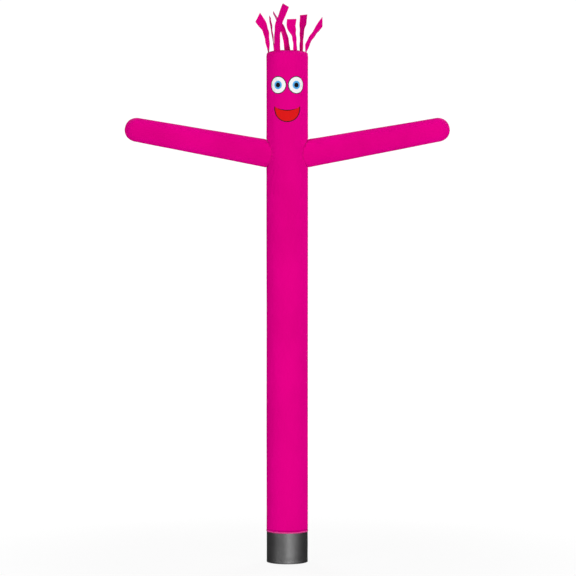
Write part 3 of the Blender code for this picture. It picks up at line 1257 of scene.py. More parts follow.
@dataclass
class BodyTube:
    """The tall tube of printed nylon, with a hemmed foot and a hole for each arm."""

    radius: float
    bottom: float
    top: float
    sleeves: tuple[Sleeve, ...]
    node: str = "body_tube"
    cloth: float = 0.0008
    columns: int = 160
    window_half_columns: int = 20
    window_rows: int = 40
    window_half_height: float = 0.20
    window_rings: int = 12
    hem_height: float = 0.026
    seam_turn: float = QUARTER_TURN
    seam_fold: float = 0.009
    edge_low: float = 0.003
    edge_high: float = 0.0125
    edge_legs: int = 800
    hole_half_arc: float = 0.1669
    hole_half_height: float = 0.155
    hole_relief_reach: float = 2.6
    hole_inset: float = 0.002
    hole_clearance: float = 0.0004
    ring_growth: float = 1.6
    unevenness: float = 0.0016
    tug_height: float = 0.0011
    tug_width: float = 0.045
    tugs: Puckers = Puckers(68.0, 3.0, 5.0, 1.0)
    roll_height: float = 0.0016
    fold_height: float = 0.0006
    groove_depth: float = 0.0022
    gather_height: float = 0.0036
    gather_reach: float = 0.075
    gathers: Puckers = Puckers(142.0, 3.2, 9.0, 2.0, 0.45, 7.0, 6.0)
    crown_pucker_height: float = 0.0044
    crown_groove: float = 0.0014
    hole_pucker_height: float = 0.0048
    hole_groove: float = 0.0020
    rim_corner: FlatPlace = (0.812, 0.500)
    rim_pitch: float = 0.004
    rim_side: float = 0.0028
    rims_in_row: int = 44

    def arc(self, turn: float) -> float:
        """Give the distance round from the front middle, from -half to half the girth."""
        return self.radius * wrapped(turn + QUARTER_TURN)

    def creases(self) -> tuple[Crease, ...]:
        """List the main creases.

        Returns:
            Their arc from the front, height, direction, length, width and depth.
        """
        return (
            Crease(-0.235, 4.20, 64, 0.26, 0.020, 0.0030),
            Crease(-0.160, 4.16, 78, 0.30, 0.016, 0.0022),
            Crease(0.240, 4.21, -62, 0.25, 0.020, 0.0030),
            Crease(0.150, 4.12, -80, 0.28, 0.016, 0.0020),
            Crease(-0.215, 4.80, -66, 0.17, 0.017, 0.0022),
            Crease(0.220, 4.79, 64, 0.17, 0.017, 0.0022),
            Crease(-0.480, 4.20, -64, 0.26, 0.020, 0.0030),
            Crease(0.485, 4.18, 66, 0.28, 0.020, 0.0028),
            Crease(-0.500, 4.82, 62, 0.20, 0.018, 0.0024),
            Crease(0.495, 4.83, -60, 0.20, 0.018, 0.0024),
            Crease(0.030, 3.05, 80, 0.34, 0.024, 0.0012),
            Crease(-0.180, 2.10, 97, 0.40, 0.024, 0.0013),
            Crease(0.270, 1.30, 84, 0.36, 0.022, 0.0012),
            Crease(-0.060, 0.78, 98, 0.30, 0.022, 0.0013),
        )

    def relief(self, turn: float, height: float) -> float:
        """Give how far the tube stands out from its smooth form.

        Args:
            turn: angle about Z.
            height: height above the ground.

        Returns:
            The rise in metres.
        """
        arc = self.arc(turn)
        above = height - self.bottom
        rise = self.unevenness * rough(arc * 3.0, height * 0.8) * smooth(0.03, 0.25, above)
        rise += self.hem_relief(arc, above)
        rise += self.crown_seam_relief(arc, self.top - height)
        rise += self.hole_relief(arc, height)
        from_seam = math.pi * self.radius - abs(arc)
        tug = math.sin(self.tugs.phase(height))
        rise += self.tug_height * bell(from_seam, 0.0, self.tug_width) * tug
        return rise + sum(crease.relief(arc, height) for crease in self.creases())

    def hem_relief(self, arc: float, above: float) -> float:
        """Give the rolled edge, the hem's stitched groove and the gathers over it.

        Args:
            arc: distance round from the front.
            above: height over the tube's foot.

        Returns:
            The rise in metres.
        """
        hem = self.hem_height
        roll = self.roll_height * bell(above, 0.007, 0.0075)
        fold = self.fold_height * (1 - smooth(hem - 0.003, hem, above))
        groove = self.groove_depth * bell(above, hem - 0.002, 0.0035)
        free = math.exp(-above / self.gather_reach) * smooth(hem, hem + 0.03, above)
        waves = (0.5 + 0.5 * math.sin(self.gathers.phase(arc))) * self.gathers.strength(arc)
        return roll + fold - groove + self.gather_height * free * waves

    def crown_seam_relief(self, arc: float, below: float) -> float:
        """Give the drawn-in edge under the crown and the puckers beneath it.

        Args:
            arc: distance round from the front.
            below: distance under the tube's top.

        Returns:
            The rise in metres.
        """
        waves = math.sin(CROWN_PUCKERS.phase(arc)) * CROWN_PUCKERS.strength(arc)
        groove = self.crown_groove * math.exp(-below / 0.004)
        return self.crown_pucker_height * swell(below, 0.045, 0.008) * (0.2 + 0.8 * waves) - groove

    def hole_relief(self, arc: float, height: float) -> float:
        """Give the drawn-in edge and the puckers round an arm hole.

        Args:
            arc: distance round from the front.
            height: height above the ground.

        Returns:
            The rise in metres.
        """
        from_side = abs(arc) - math.pi * self.radius / 2
        up = height - self.sleeves[0].height
        reach = math.hypot(from_side / self.hole_half_arc, up / self.hole_half_height)
        if reach > self.hole_relief_reach:
            return 0.0
        gap = max(0.0, (reach - 1) * self.hole_half_height)
        side = 1 if arc > 0 else -1
        angle = math.atan2(from_side * side, up)
        puckers = Puckers(23.0, 1.8, 1.3, 30.0 + side, 0.45, 2.3, 40.0 * side)
        waves = 0.2 + math.cos(puckers.phase(angle)) * puckers.strength(angle)
        groove = self.hole_groove * math.exp(-gap / 0.007)
        return self.hole_pucker_height * swell(gap, 0.040, 0.008) * waves - groove

    def surface(self, turn: float, height: float, lift: float = 0.0) -> Vector:
        """Give a point on the tube's outer face, with its folds, or this far over it."""
        radius = self.radius + self.relief(turn, height) + lift
        return Vector((radius * math.cos(turn), radius * math.sin(turn), height))

    def heights(self) -> tuple[list[float], int]:
        """Space the mesh's rows, closer where the cloth is puckered.

        Returns:
            The rows' heights and the number of the arm windows' first row.
        """
        low = self.sleeves[0].height - self.window_half_height
        high = self.sleeves[0].height + self.window_half_height
        pitch = (high - low) / self.window_rows
        lower = graded((
            (self.bottom, self.bottom + 0.036, 0.0015),
            (self.bottom + 0.036, 0.62, 0.012),
            (0.62, 3.85, 0.042),
            (3.85, low, 0.017),
        ))
        window = graded(((low, high, pitch),))
        upper = graded((
            (high, 5.42, 0.020),
            (5.42, self.top - 0.014, 0.010),
            (self.top - 0.014, self.top, 0.002),
        ))
        return lower + window[1:] + upper[1:], len(lower) - 1

    def window_edge(self, side: int) -> list[tuple[int, int]]:
        """Walk round a window's edge, from the middle of its top to the back.

        Args:
            side: 1 on the right, -1 on the left.

        Returns:
            Each point as its column and its row above the foot.
        """
        half = self.window_half_columns
        rows = self.window_rows
        corners = [(column, rows) for column in range(half)]
        corners += [(half, rows - row) for row in range(rows)]
        corners += [(half - column, 0) for column in range(2 * half)]
        corners += [(-half, row) for row in range(rows)]
        corners += [(column - half, rows) for column in range(half)]
        quarter = self.columns // 4
        centre = 3 * quarter if side > 0 else quarter
        return [((centre + side * column) % self.columns, row) for column, row in corners]

    def hole_rings(self, grid: ClothGrid, sleeve: Sleeve, edge: Corners) -> None:
        """Close the cloth between a window's edge and the arm hole in it.

        Args:
            grid: the sheet.
            sleeve: the arm that passes through the hole.
            edge: the window's edge points in order.
        """
        rims = self.hole_rim(sleeve, len(edge))
        rings: list[Corners] = []
        flats: list[list[FlatPlace]] = []
        for ring in range(self.window_rings + 1):
            share = (ring / self.window_rings) ** self.ring_growth
            places = []
            for rim, corner in zip(rims, edge):
                rim_turn = math.atan2(rim.y, abs(rim.x))
                edge_turn = math.atan2(corner.co.y, sleeve.side * corner.co.x)
                turn = rim_turn + (edge_turn - rim_turn) * share
                height = rim.z + (corner.co.z - rim.z) * share
                places.append((turn if sleeve.side > 0 else math.pi - turn, height))
            flat = [(self.arc(turn), height) for turn, height in places]
            flats.append(flat + flat[:1])
            last = ring == self.window_rings
            rings.append(edge if last else grid.row(self.surface(*place) for place in places))
        grid.bands(rings, flats, True)

    def hole_rim(self, sleeve: Sleeve, count: int) -> list[Vector]:
        """Give points round an arm hole's rim, where the sleeve passes through the cloth.

        Args:
            sleeve: the arm that passes through the hole.
            count: how many points.

        Returns:
            The points, from the sleeve's top to its back.
        """
        rims = []
        for angle in steps(0.0, FULL_TURN, count)[:-1]:
            length = sleeve.meets(self.radius - self.hole_inset, angle, self.hole_clearance)
            rims.append(sleeve.plain(length, angle, self.hole_clearance))
        return rims

    def build(self, finish: Finish) -> bpy.types.Object:
        """Build the tube as a thin sheet, open at both ends.

        Args:
            finish: the printed nylon.

        Returns:
            The dressed object.
        """
        grid = ClothGrid()
        heights, first = self.heights()
        step = FULL_TURN / self.columns
        turns = [self.seam_turn + step * column for column in range(self.columns)]
        placed = [grid.row(self.surface(turn, height) for turn in turns) for height in heights]
        last = first + self.window_rows
        flats = [self.flat_row(height) for height in heights]
        grid.bands(placed[:first + 1], flats[:first + 1], True)
        for row in range(first, last):
            grid.band(placed[row], placed[row + 1], flats[row], flats[row + 1], True, self.in_window)
        grid.bands(placed[last:], flats[last:], True)
        for sleeve in self.sleeves:
            edge = [placed[first + row][column] for column, row in self.window_edge(sleeve.side)]
            self.hole_rings(grid, sleeve, edge)
        grid.face_out(0, Vector((0.0, 0.0, self.bottom)))
        self.lay_seam_fold(grid)
        tube = add_mesh(self.node + "_cloth", grid.bm, finish)
        thicken(tube, self.cloth, -1.0)
        self.lay_colour_map(tube)
        dress(tube, Slot.NYLON, self.node)
        return tube

    def in_window(self, column: int) -> bool:
        """Tell whether a column is left open beside an arm hole."""
        shift = self.window_half_columns - self.columns // 4
        return (column + shift) % (self.columns // 2) < 2 * self.window_half_columns

    def map_tiles(self) -> list[MapTile]:
        """List the outer cloth's patches: the printed front large, the rest in six strips.

        Returns:
            The patches.
        """
        half_girth = math.pi * self.radius + 2 * self.seam_fold
        third = (self.top - self.bottom) / 3 + 0.001
        tiles = [MapTile(-0.215, 0.215, 4.83, 5.37, 0.008, 0.484, 0.384, 0.482)]
        for number in range(6):
            side, band = divmod(number, 3)
            low = (side - 1) * half_girth
            foot = self.bottom - 0.001 + band * third
            left = 0.006 + 0.199 * number if number < 5 else 0.412
            height = 0.010 if number < 5 else 0.500
            tiles.append(MapTile(low, low + half_girth, foot, foot + third, left, height, 0.183, 0.446))
        return tiles

    def lay_colour_map(self, tube: bpy.types.Object) -> None:
        """Lay the map that colours are kept on, so that the printed front gets most of it.

        Args:
            tube: the finished tube, with its cloth's thickness.
        """
        mesh = tube.data
        flat = mesh.uv_layers["cloth"].data
        places = [tuple(corner.uv) for corner in flat]
        chart = mesh.uv_layers.new(name="OFBake", do_init=False).data
        tiles = self.map_tiles()
        half_girth = math.pi * self.radius
        inside = MapTile(
            -half_girth, half_girth, self.bottom, self.top, 0.624, 0.500, 0.165, 0.470
        )
        rims = 0
        for face in mesh.polygons:
            outward = Vector((face.center.x, face.center.y, 0.0)).normalized()
            facing = face.normal.dot(outward)
            corners = [places[loop] for loop in face.loop_indices]
            middle = [sum(part) / len(corners) for part in zip(*corners)]
            spread = max(part[0] for part in corners) - min(part[0] for part in corners)
            if spread > 1e-5 and abs(facing) > 0.5:
                tile = inside
                if facing > 0:
                    tile = next((tile for tile in tiles if tile.holds(*middle)), inside)
                for loop, place in zip(face.loop_indices, corners):
                    chart[loop].uv = tile.spot(*place)
                continue
            left = self.rim_corner[0] + self.rim_pitch * (rims % self.rims_in_row)
            foot = self.rim_corner[1] + self.rim_pitch * (rims // self.rims_in_row)
            rims += 1
            for loop, (right, up) in zip(face.loop_indices, ((0, 0), (1, 0), (1, 1), (0, 1))):
                chart[loop].uv = (left + self.rim_side * right, foot + self.rim_side * up)
        LOG.info("%s: %d rim faces on the colour map", tube.name, rims)

    def flat_row(self, height: float) -> list[FlatPlace]:
        """Give a row's places on the flat cloth, from one edge of the seam behind to the other.

        Args:
            height: the row's height.

        Returns:
            The places, one more than the columns.
        """
        half_girth = math.pi * self.radius
        pitch = 2 * half_girth / self.columns
        return [(pitch * column - half_girth, height) for column in range(self.columns + 1)]

    def lay_seam_fold(self, grid: ClothGrid) -> None:
        """Lay the felled seam's folded strip up the back.

        Args:
            grid: the sheet, whose faces already point outwards.
        """
        heights = steps(self.bottom + self.hem_height, self.top, 380)
        middle = -math.pi * self.radius - self.seam_fold
        rows = [
            grid.row(
                self.surface(self.seam_turn + across / self.radius, height, lift)
                for across, lift in SEAM_FOLD
            )
            for height in heights
        ]
        flats = [[(across + middle, height) for across, _ in SEAM_FOLD] for height in heights]
        grid.bands(rows, flats, False)

    def ring_path(self, height: float) -> list[Vector]:
        """Give a closed path round the tube at a height."""
        return [self.surface(turn, height) for turn in steps(0.0, FULL_TURN, 240)]

    def edge_path(self) -> list[Vector]:
        """Give the zigzag of the sewn lower edge, from a quarter of the way along a leg.

        Returns:
            The path's points.
        """
        low = self.bottom + self.edge_low
        path = []
        for step, turn in enumerate(steps(0.0, FULL_TURN, 4 * self.edge_legs)):
            leg, quarter = divmod(step + 1, 4)
            rise = quarter / 4 if leg % 2 else 1 - quarter / 4
            path.append(self.surface(turn, low + (self.edge_high - self.edge_low) * rise))
        return path

    def seam_path(self, offset: float) -> list[Vector]:
        """Give a path up the back seam's fold, to one side of it.

        Args:
            offset: distance round from the seam's middle.

        Returns:
            The path's points.
        """
        turn = self.seam_turn + offset / self.radius
        heights = steps(self.bottom + self.hem_height + 0.003, self.top - 0.006, 420)
        return [self.surface(turn, height, SEAM_LIFT) for height in heights]

    def hole_path(self, sleeve: Sleeve, distance: float) -> list[Vector]:
        """Give a closed path on the tube round an arm hole, this far from its edge.

        Args:
            sleeve: the arm in the hole.
            distance: distance from the edge.

        Returns:
            The path's points.
        """
        path = []
        for angle in steps(0.0, FULL_TURN, 160):
            length = sleeve.meets(self.radius, angle, distance)
            rim = sleeve.plain(length, angle, distance)
            path.append(self.surface(math.atan2(rim.y, rim.x), rim.z))
        return path


@dataclass
class CrownPanel:
    """The round top panel, domed by the air and puckered along its seam."""

    radius: float
    seam_height: float
    rise: float
    node: str = "crown_panel"
    power: float = 3.0
    skirt: float = 0.020
    cloth: float = 0.0008
    tube_radius: float = 0.2286
    columns: int = 160
    rings: int = 34
    flat_width: float = 0.54
    flat_area: float = 0.229
    pucker_height: float = 0.0050
    unevenness: float = 0.0022

    def plain(self, share: float) -> tuple[float, float]:
        """Give the smooth dome's radius and height at a share of the way from rim to middle.

        Args:
            share: 0 at the rim, 1 in the middle.

        Returns:
            The radius and the height.
        """
        angle = QUARTER_TURN * (1 - share)
        radius = self.radius * math.sin(angle) ** (2 / self.power)
        return radius, self.seam_height + self.rise * max(0.0, math.cos(angle)) ** (2 / self.power)

    def surface(self, share: float, turn: float) -> Vector:
        """Give a point on the crown's outer face, with its puckers.

        Args:
            share: 0 at the rim, 1 in the middle.
            turn: angle about Z.

        Returns:
            The point in the frame.
        """
        radius, height = self.plain(share)
        arc = self.tube_radius * wrapped(turn + QUARTER_TURN)
        waves = math.sin(CROWN_PUCKERS.phase(arc)) * CROWN_PUCKERS.strength(arc)
        bulge = self.pucker_height * bell(share, 0.20, 0.20) * smooth(0.0, 0.05, share) * waves
        swelling = rough(radius * math.cos(turn) * 9, radius * math.sin(turn) * 9)
        bulge += self.unevenness * swelling * share
        reach = radius + bulge * (1 - share)
        rise = height + bulge * (0.4 + 0.6 * share)
        return Vector((reach * math.cos(turn), reach * math.sin(turn), rise))

    def build(self, finish: Finish) -> bpy.types.Object:
        """Build the crown and its skirt as one thin sheet.

        Args:
            finish: the nylon.

        Returns:
            The dressed object.
        """
        grid = ClothGrid()
        turns = steps(0.0, FULL_TURN, self.columns)[:-1]
        rim = [(self.radius * math.cos(turn), self.radius * math.sin(turn)) for turn in turns]
        drops = (self.skirt, self.skirt / 2, self.skirt / 5)
        rows = [[Vector((x, y, self.seam_height - drop)) for x, y in rim] for drop in drops]
        for share in steps(0.0, 1.0, self.rings)[:-1]:
            rows.append([self.surface(share, turn) for turn in turns])
        placed = [grid.row(row) for row in rows]
        flats = [self.flat_row(row) for row in rows]
        grid.bands(placed, flats, True)
        middle = Vector((0.0, 0.0, self.seam_height + self.rise))
        grid.cap(placed[-1], flats[-1], middle, lambda place: (0.0, 0.0))
        grid.face_out(-1, Vector((0.0, 0.0, self.seam_height)))
        crown = add_mesh(self.node + "_cloth", grid.bm, finish)
        thicken(crown, self.cloth, -1.0)
        dress(crown, Slot.NYLON, self.node)
        return crown

    def flat_row(self, row: Sequence[Vector]) -> list[FlatPlace]:
        """Give a ring's places on the flat round panel."""
        flat = [(point.x, point.y) for point in row]
        return flat + flat[:1]

    def ring_path(self, share: float) -> list[Vector]:
        """Give a closed path round the crown."""
        return [self.surface(share, turn) for turn in steps(0.0, FULL_TURN, 220)]


@dataclass
class BaseCuff:
    """The black coated cuff, lapped under the tube and folded into a stout hem below."""

    radius: float
    top: float
    node: str = "base_cuff"
    cloth: float = 0.0018
    hem_height: float = 0.032
    hem_fold: float = 0.0007
    columns: int = 160
    roll_depth: float = 0.0010
    groove_depth: float = 0.0007
    dent_height: float = 0.0016
    ripple_height: float = 0.0004
    ripples: Puckers = Puckers(95.0, 4.0, 6.0, 3.0)

    def surface(self, turn: float, height: float) -> Vector:
        """Give a point on the cuff's outer face, with its hem and soft dents.

        Args:
            turn: angle about Z.
            height: height above the ground.

        Returns:
            The point in the frame.
        """
        arc = self.radius * turn
        hem = self.hem_fold * (1 - smooth(self.hem_height - 0.004, self.hem_height + 0.004, height))
        roll = self.roll_depth * math.exp(-height / 0.003)
        groove = self.groove_depth * bell(height, self.hem_height - 0.003, 0.0030)
        free = smooth(self.hem_height, 0.10, height) * (1 - smooth(0.27, 0.33, height))
        dents = self.dent_height * rough(arc * 4.2, height * 6.0, 3.0) * free
        over_hem = height - self.hem_height - 0.012
        ripple = self.ripple_height * math.sin(self.ripples.phase(arc))
        ripple *= math.exp(-abs(over_hem) / 0.016) * smooth(0.030, 0.045, height)
        radius = self.radius + hem - roll - groove + dents + ripple
        return Vector((radius * math.cos(turn), radius * math.sin(turn), height))

    def build(self, finish: Finish) -> bpy.types.Object:
        """Build the cuff as a thin sheet, open at both ends.

        Args:
            finish: the coated cloth.

        Returns:
            The dressed object.
        """
        grid = ClothGrid()
        turns = steps(0.0, FULL_TURN, self.columns)
        heights = graded(((0.0, 0.044, 0.0015), (0.044, 0.30, 0.012), (0.30, self.top, 0.010)))
        placed = [grid.row(self.surface(turn, height) for turn in turns[:-1]) for height in heights]
        flats = [[(turn * self.radius, height) for turn in turns] for height in heights]
        grid.bands(placed, flats, True)
        grid.face_out(0, Vector())
        cuff = add_mesh(self.node + "_cloth", grid.bm, finish)
        thicken(cuff, self.cloth, -1.0)
        dress(cuff, Slot.COATED, self.node)
        return cuff

    def ring_path(self, height: float) -> list[Vector]:
        """Give a closed path round the cuff at a height."""
        return [self.surface(turn, height) for turn in steps(0.0, FULL_TURN, 240)]


@dataclass(frozen=True)
class Station:
    """One place on a streamer's centre line; turn is its width's angle from +X, in degrees."""

    x: float
    y: float
    z: float
    turn: float


@dataclass
class Streamer:
    """One loose strip of nylon, cupped and twisted by the air, its foot on the crown."""

    node: str
    end_slant: float
    stations: tuple[Station, ...]
    seed: float
    width: float = 0.104
    cloth: float = 0.0010
    cup: float = 0.006
    across_count: int = 14
    along_count: int = 72
    slant_reach: float = 0.30
    tangent_step: float = 0.02
    foot_sink: float = 0.001
    edge_wave: float = 0.0026
    soft_wave: float = 0.0026
    crease_depth: float = 0.0016

    def value(self, column: str, along: float) -> float:
        """Read one column of the stations as a smooth curve through them.

        Args:
            column: the column's name.
            along: place along the strip, counted in stations.

        Returns:
            The column's value there.
        """
        last = len(self.stations) - 1
        row = min(int(along), last - 1)
        share = along - row
        before = getattr(self.stations[max(row - 1, 0)], column)
        start = getattr(self.stations[row], column)
        end = getattr(self.stations[row + 1], column)
        after = getattr(self.stations[min(row + 2, last)], column)
        cube = share ** 3
        square = share ** 2
        return (
            (2 * cube - 3 * square + 1) * start
            + (cube - 2 * square + share) * (end - before) / 2
            + (3 * square - 2 * cube) * end
            + (cube - square) * (after - start) / 2
        )

    def centre(self, along: float) -> Vector:
        """Give a point on the centre line."""
        return Vector([self.value(axis, along) for axis in "xyz"])

    def row(self, share: float) -> list[Vector]:
        """Give the points across the strip at a share of its length.

        Args:
            share: 0 at the foot, 1 at the loose end.

        Returns:
            The points from edge to edge.
        """
        last = len(self.stations) - 1
        here = share * last
        centre = self.centre(here)
        ahead = self.centre(min(float(last), here + self.tangent_step))
        back = self.centre(max(0.0, here - self.tangent_step))
        along = (ahead - back).normalized()
        turn = math.radians(self.value("turn", here))
        across = Vector((math.cos(turn), math.sin(turn), 0.0))
        across = (across - along * across.dot(along)).normalized()
        bulge = along.cross(across)
        slant = math.tan(math.radians(self.end_slant))
        slant *= max(0.0, (share - 1 + self.slant_reach) / self.slant_reach)
        points = []
        for column in range(self.across_count + 1):
            side = 2 * column / self.across_count - 1
            reach = side * self.width / 2
            lift = self.cup * (1 - side * side) * math.sin(math.pi * share)
            lift += self.flutter(side, share)
            points.append(centre + across * reach + along * (reach * slant) + bulge * lift)
        return points

    def flutter(self, side: float, share: float) -> float:
        """Give the small waves along the strip's edges and its soft creases.

        Args:
            side: place across, from -1 to 1.
            share: 0 at the foot, 1 at the loose end.

        Returns:
            The rise in metres.
        """
        free = smooth(0.0, 0.25, share)
        edge = self.edge_wave * abs(side) ** 2.5 * math.sin(share * 19 + side * 2 + self.seed)
        soft = self.soft_wave * rough(share * 5 + self.seed * 3, side * 1.4, self.seed)
        crease = self.crease_depth * bell(side, 0.15 * math.sin(share * 5 + self.seed), 0.12)
        return free * (edge + soft - crease)

    def build(self, finish: Finish, foot_height: Callable[[float], float]) -> bpy.types.Object:
        """Build the strip as a thin sheet.

        Args:
            finish: the streamer's nylon.
            foot_height: gives the crown's height at a radius, on which the foot stands.

        Returns:
            The dressed object.
        """
        grid = ClothGrid()
        placed = []
        flats = []
        length = 0.0
        before = self.centre(0.0)
        last = len(self.stations) - 1
        for share in steps(0.0, 1.0, self.along_count):
            points = self.row(share)
            if share == 0:
                for point in points:
                    point.z = foot_height(math.hypot(point.x, point.y)) - self.foot_sink
            here = self.centre(share * last)
            length += (here - before).length
            before = here
            placed.append(grid.row(points))
            flats.append([
                (self.width * column / self.across_count, length)
                for column in range(self.across_count + 1)
            ])
        grid.bands(placed, flats, False)
        strip = add_mesh(self.node + "_cloth", grid.bm, finish)
        thicken(strip, self.cloth, 0.0)
        dress(strip, Slot.STREAMER, self.node)
        return strip


STREAMER_TABLE: dict[str, tuple[float, tuple[Station, ...]]] = {
    "streamer_1": (30, (
        Station(-0.205, 0.000, 5.620, 84),
        Station(-0.214, -0.004, 5.720, 66),
        Station(-0.225, -0.018, 5.800, 58),
        Station(-0.239, -0.034, 5.862, 50),
        Station(-0.274, -0.040, 5.930, 22),
        Station(-0.324, -0.030, 6.003, 2),
    )),
    "streamer_2": (0, (
        Station(-0.142, 0.085, 5.640, 84),
        Station(-0.150, 0.100, 5.725, 85),
        Station(-0.161, 0.112, 5.803, 84),
        Station(-0.172, 0.118, 5.880, 80),
        Station(-0.181, 0.130, 5.950, 79),
        Station(-0.191, 0.150, 6.022, 79),
    )),
    "streamer_3": (-12, (
        Station(-0.110, -0.128, 5.640, -46),
        Station(-0.111, -0.142, 5.740, -52),
        Station(-0.106, -0.160, 5.835, -50),
        Station(-0.093, -0.172, 5.920, -44),
        Station(-0.060, -0.176, 6.010, -40),
        Station(-0.014, -0.168, 6.126, -36),
    )),
    "streamer_4": (24, (
        Station(0.003, 0.142, 5.640, 50),
        Station(-0.011, 0.152, 5.740, 53),
        Station(-0.027, 0.162, 5.822, 54),
        Station(-0.060, 0.170, 5.900, 50),
        Station(-0.108, 0.176, 5.990, 67),
        Station(-0.156, 0.186, 6.070, 79),
    )),
    "streamer_5": (8, (
        Station(0.087, -0.120, 5.640, 64),
        Station(0.083, -0.134, 5.725, 67),
        Station(0.075, -0.150, 5.794, 62),
        Station(0.061, -0.163, 5.846, 43),
        Station(0.043, -0.172, 5.902, 16),
        Station(0.050, -0.172, 5.975, 12),
    )),
    "streamer_6": (2, (
        Station(0.155, 0.085, 5.640, -70),
        Station(0.157, 0.092, 5.735, -67),
        Station(0.161, 0.104, 5.825, -66),
        Station(0.167, 0.120, 5.893, -56),
        Station(0.175, 0.134, 5.958, -42),
        Station(0.181, 0.142, 6.041, -38),
    )),
    "streamer_7": (-38, (
        Station(0.205, -0.004, 5.620, 84),
        Station(0.222, -0.012, 5.698, 64),
        Station(0.250, -0.030, 5.760, 60),
        Station(0.290, -0.052, 5.816, 56),
        Station(0.328, -0.066, 5.872, 52),
        Station(0.386, -0.062, 5.950, 44),
    )),
}


@dataclass(frozen=True)
class Stitching:
    """Rows of stitches, laid by Geometry Nodes along paths on the cloth."""

    pitch: float = 0.0065
    stitch_length: float = 0.0046
    thread_radius: float = 0.0006
    segments: int = 5
    rings: int = 3

    def tree(self) -> bpy.types.NodeTree:
        """Build the node tree that turns guide lines into stitches.

        Returns:
            The tree, with its pitch, length, thread radius and thread as named inputs.
        """
        tree = bpy.data.node_groups.new("stitch_rows", "GeometryNodeTree")
        self.add_sockets(tree)
        nodes = tree.nodes
        link = tree.links.new
        start = nodes.new("NodeGroupInput")
        end = nodes.new("NodeGroupOutput")
        curve = nodes.new("GeometryNodeMeshToCurve")
        link(start.outputs["Guides"], curve.inputs["Mesh"])
        points = nodes.new("GeometryNodeResampleCurve")
        points.mode = "LENGTH"
        link(curve.outputs["Curve"], points.inputs["Curve"])
        link(start.outputs["Pitch"], points.inputs["Length"])
        ball = nodes.new("GeometryNodeMeshUVSphere")
        ball.inputs["Segments"].default_value = self.segments
        ball.inputs["Rings"].default_value = self.rings
        ball.inputs["Radius"].default_value = 1.0
        tangent = nodes.new("GeometryNodeInputTangent")
        turn = nodes.new("FunctionNodeAlignRotationToVector")
        turn.axis = "Z"
        link(tangent.outputs["Tangent"], turn.inputs["Vector"])
        lay = nodes.new("GeometryNodeInstanceOnPoints")
        link(points.outputs["Curve"], lay.inputs["Points"])
        link(ball.outputs["Mesh"], lay.inputs["Instance"])
        link(turn.outputs["Rotation"], lay.inputs["Rotation"])
        link(self.half_sizes(tree, start), lay.inputs["Scale"])
        real = nodes.new("GeometryNodeRealizeInstances")
        link(lay.outputs["Instances"], real.inputs["Geometry"])
        finish = nodes.new("GeometryNodeSetMaterial")
        link(real.outputs["Geometry"], finish.inputs["Geometry"])
        link(start.outputs["Thread"], finish.inputs["Material"])
        link(finish.outputs["Geometry"], end.inputs["Stitches"])
        return tree

    def add_sockets(self, tree: bpy.types.NodeTree) -> None:
        """Name the tree's inputs and its output.

        Args:
            tree: the stitch tree.
        """
        face = tree.interface
        face.new_socket("Guides", in_out="INPUT", socket_type="NodeSocketGeometry")
        for name in ("Pitch", "Stitch Length", "Thread Radius"):
            face.new_socket(name, in_out="INPUT", socket_type="NodeSocketFloat")
        face.new_socket("Thread", in_out="INPUT", socket_type="NodeSocketMaterial")
        face.new_socket("Stitches", in_out="OUTPUT", socket_type="NodeSocketGeometry")

    def half_sizes(self, tree: bpy.types.NodeTree, start: bpy.types.Node) -> Socket:
        """Give a stitch's half sizes: the thread's radius twice, and half its length.

        Args:
            tree: the stitch tree.
            start: its input node.

        Returns:
            The sizes' socket.
        """
        half = tree.nodes.new("ShaderNodeMath")
        half.operation = "MULTIPLY"
        half.inputs[1].default_value = 0.5
        tree.links.new(start.outputs["Stitch Length"], half.inputs[0])
        sizes = tree.nodes.new("ShaderNodeCombineXYZ")
        tree.links.new(start.outputs["Thread Radius"], sizes.inputs["X"])
        tree.links.new(start.outputs["Thread Radius"], sizes.inputs["Y"])
        tree.links.new(half.outputs[0], sizes.inputs["Z"])
        return sizes.outputs["Vector"]

    def lay_guides(self, name: str, paths: Sequence[Sequence[Vector]]) -> bpy.types.Object:
        """Lay the lines that the stitches follow.

        Args:
            name: the piece's name.
            paths: rows of points on the cloth.

        Returns:
            The lines, as one object.
        """
        bm = bmesh.new()
        for path in paths:
            verts = [bm.verts.new(point) for point in path]
            for pair in zip(verts, verts[1:]):
                bm.edges.new(pair)
        mesh = bpy.data.meshes.new(name)
        bm.to_mesh(mesh)
        bm.free()
        guides = bpy.data.objects.new(name, mesh)
        bpy.context.collection.objects.link(guides)
        return guides

    def keep_thread(self, mesh: bpy.types.Mesh, thread: Finish) -> None:
        """Leave the thread as the only material on a mesh of stitches.

        Args:
            mesh: the stitches.
            thread: the thread's material.
        """
        mesh.materials.clear()
        mesh.materials.append(thread)
        mesh.polygons.foreach_set("material_index", [0] * len(mesh.polygons))
        mesh.shade_smooth()

    def build(
        self,
        name: str,
        tree: bpy.types.NodeTree,
        paths: Sequence[Sequence[Vector]],
        thread: Finish,
        slot: Slot,
    ) -> bpy.types.Object:
        """Sew stitches along paths and dress them as one piece.

        Args:
            name: the piece's name.
            tree: the stitch tree.
            paths: rows of points on the cloth.
            thread: the thread's material.
            slot: the record's slot for the cloth that is sewn.

        Returns:
            The stitches.
        """
        rows = self.lay_guides(name, paths)
        sewing = rows.modifiers.new("stitches", "NODES")
        sewing.node_group = tree
        values = {
            "Pitch": self.pitch,
            "Stitch Length": self.stitch_length,
            "Thread Radius": self.thread_radius,
            "Thread": thread,
        }
        for item in tree.interface.items_tree:
            if item.in_out == "INPUT" and item.name in values:
                sewing[item.identifier] = values[item.name]
        make_plain(rows)
        self.keep_thread(rows.data, thread)
        dress(rows, slot)
        return rows


@dataclass(frozen=True)
class Softbox:
    """One soft light: where it hangs, its width and height, and its power in watts."""

    name: str
    place: tuple[float, float, float]
    size: tuple[float, float]
    power: float


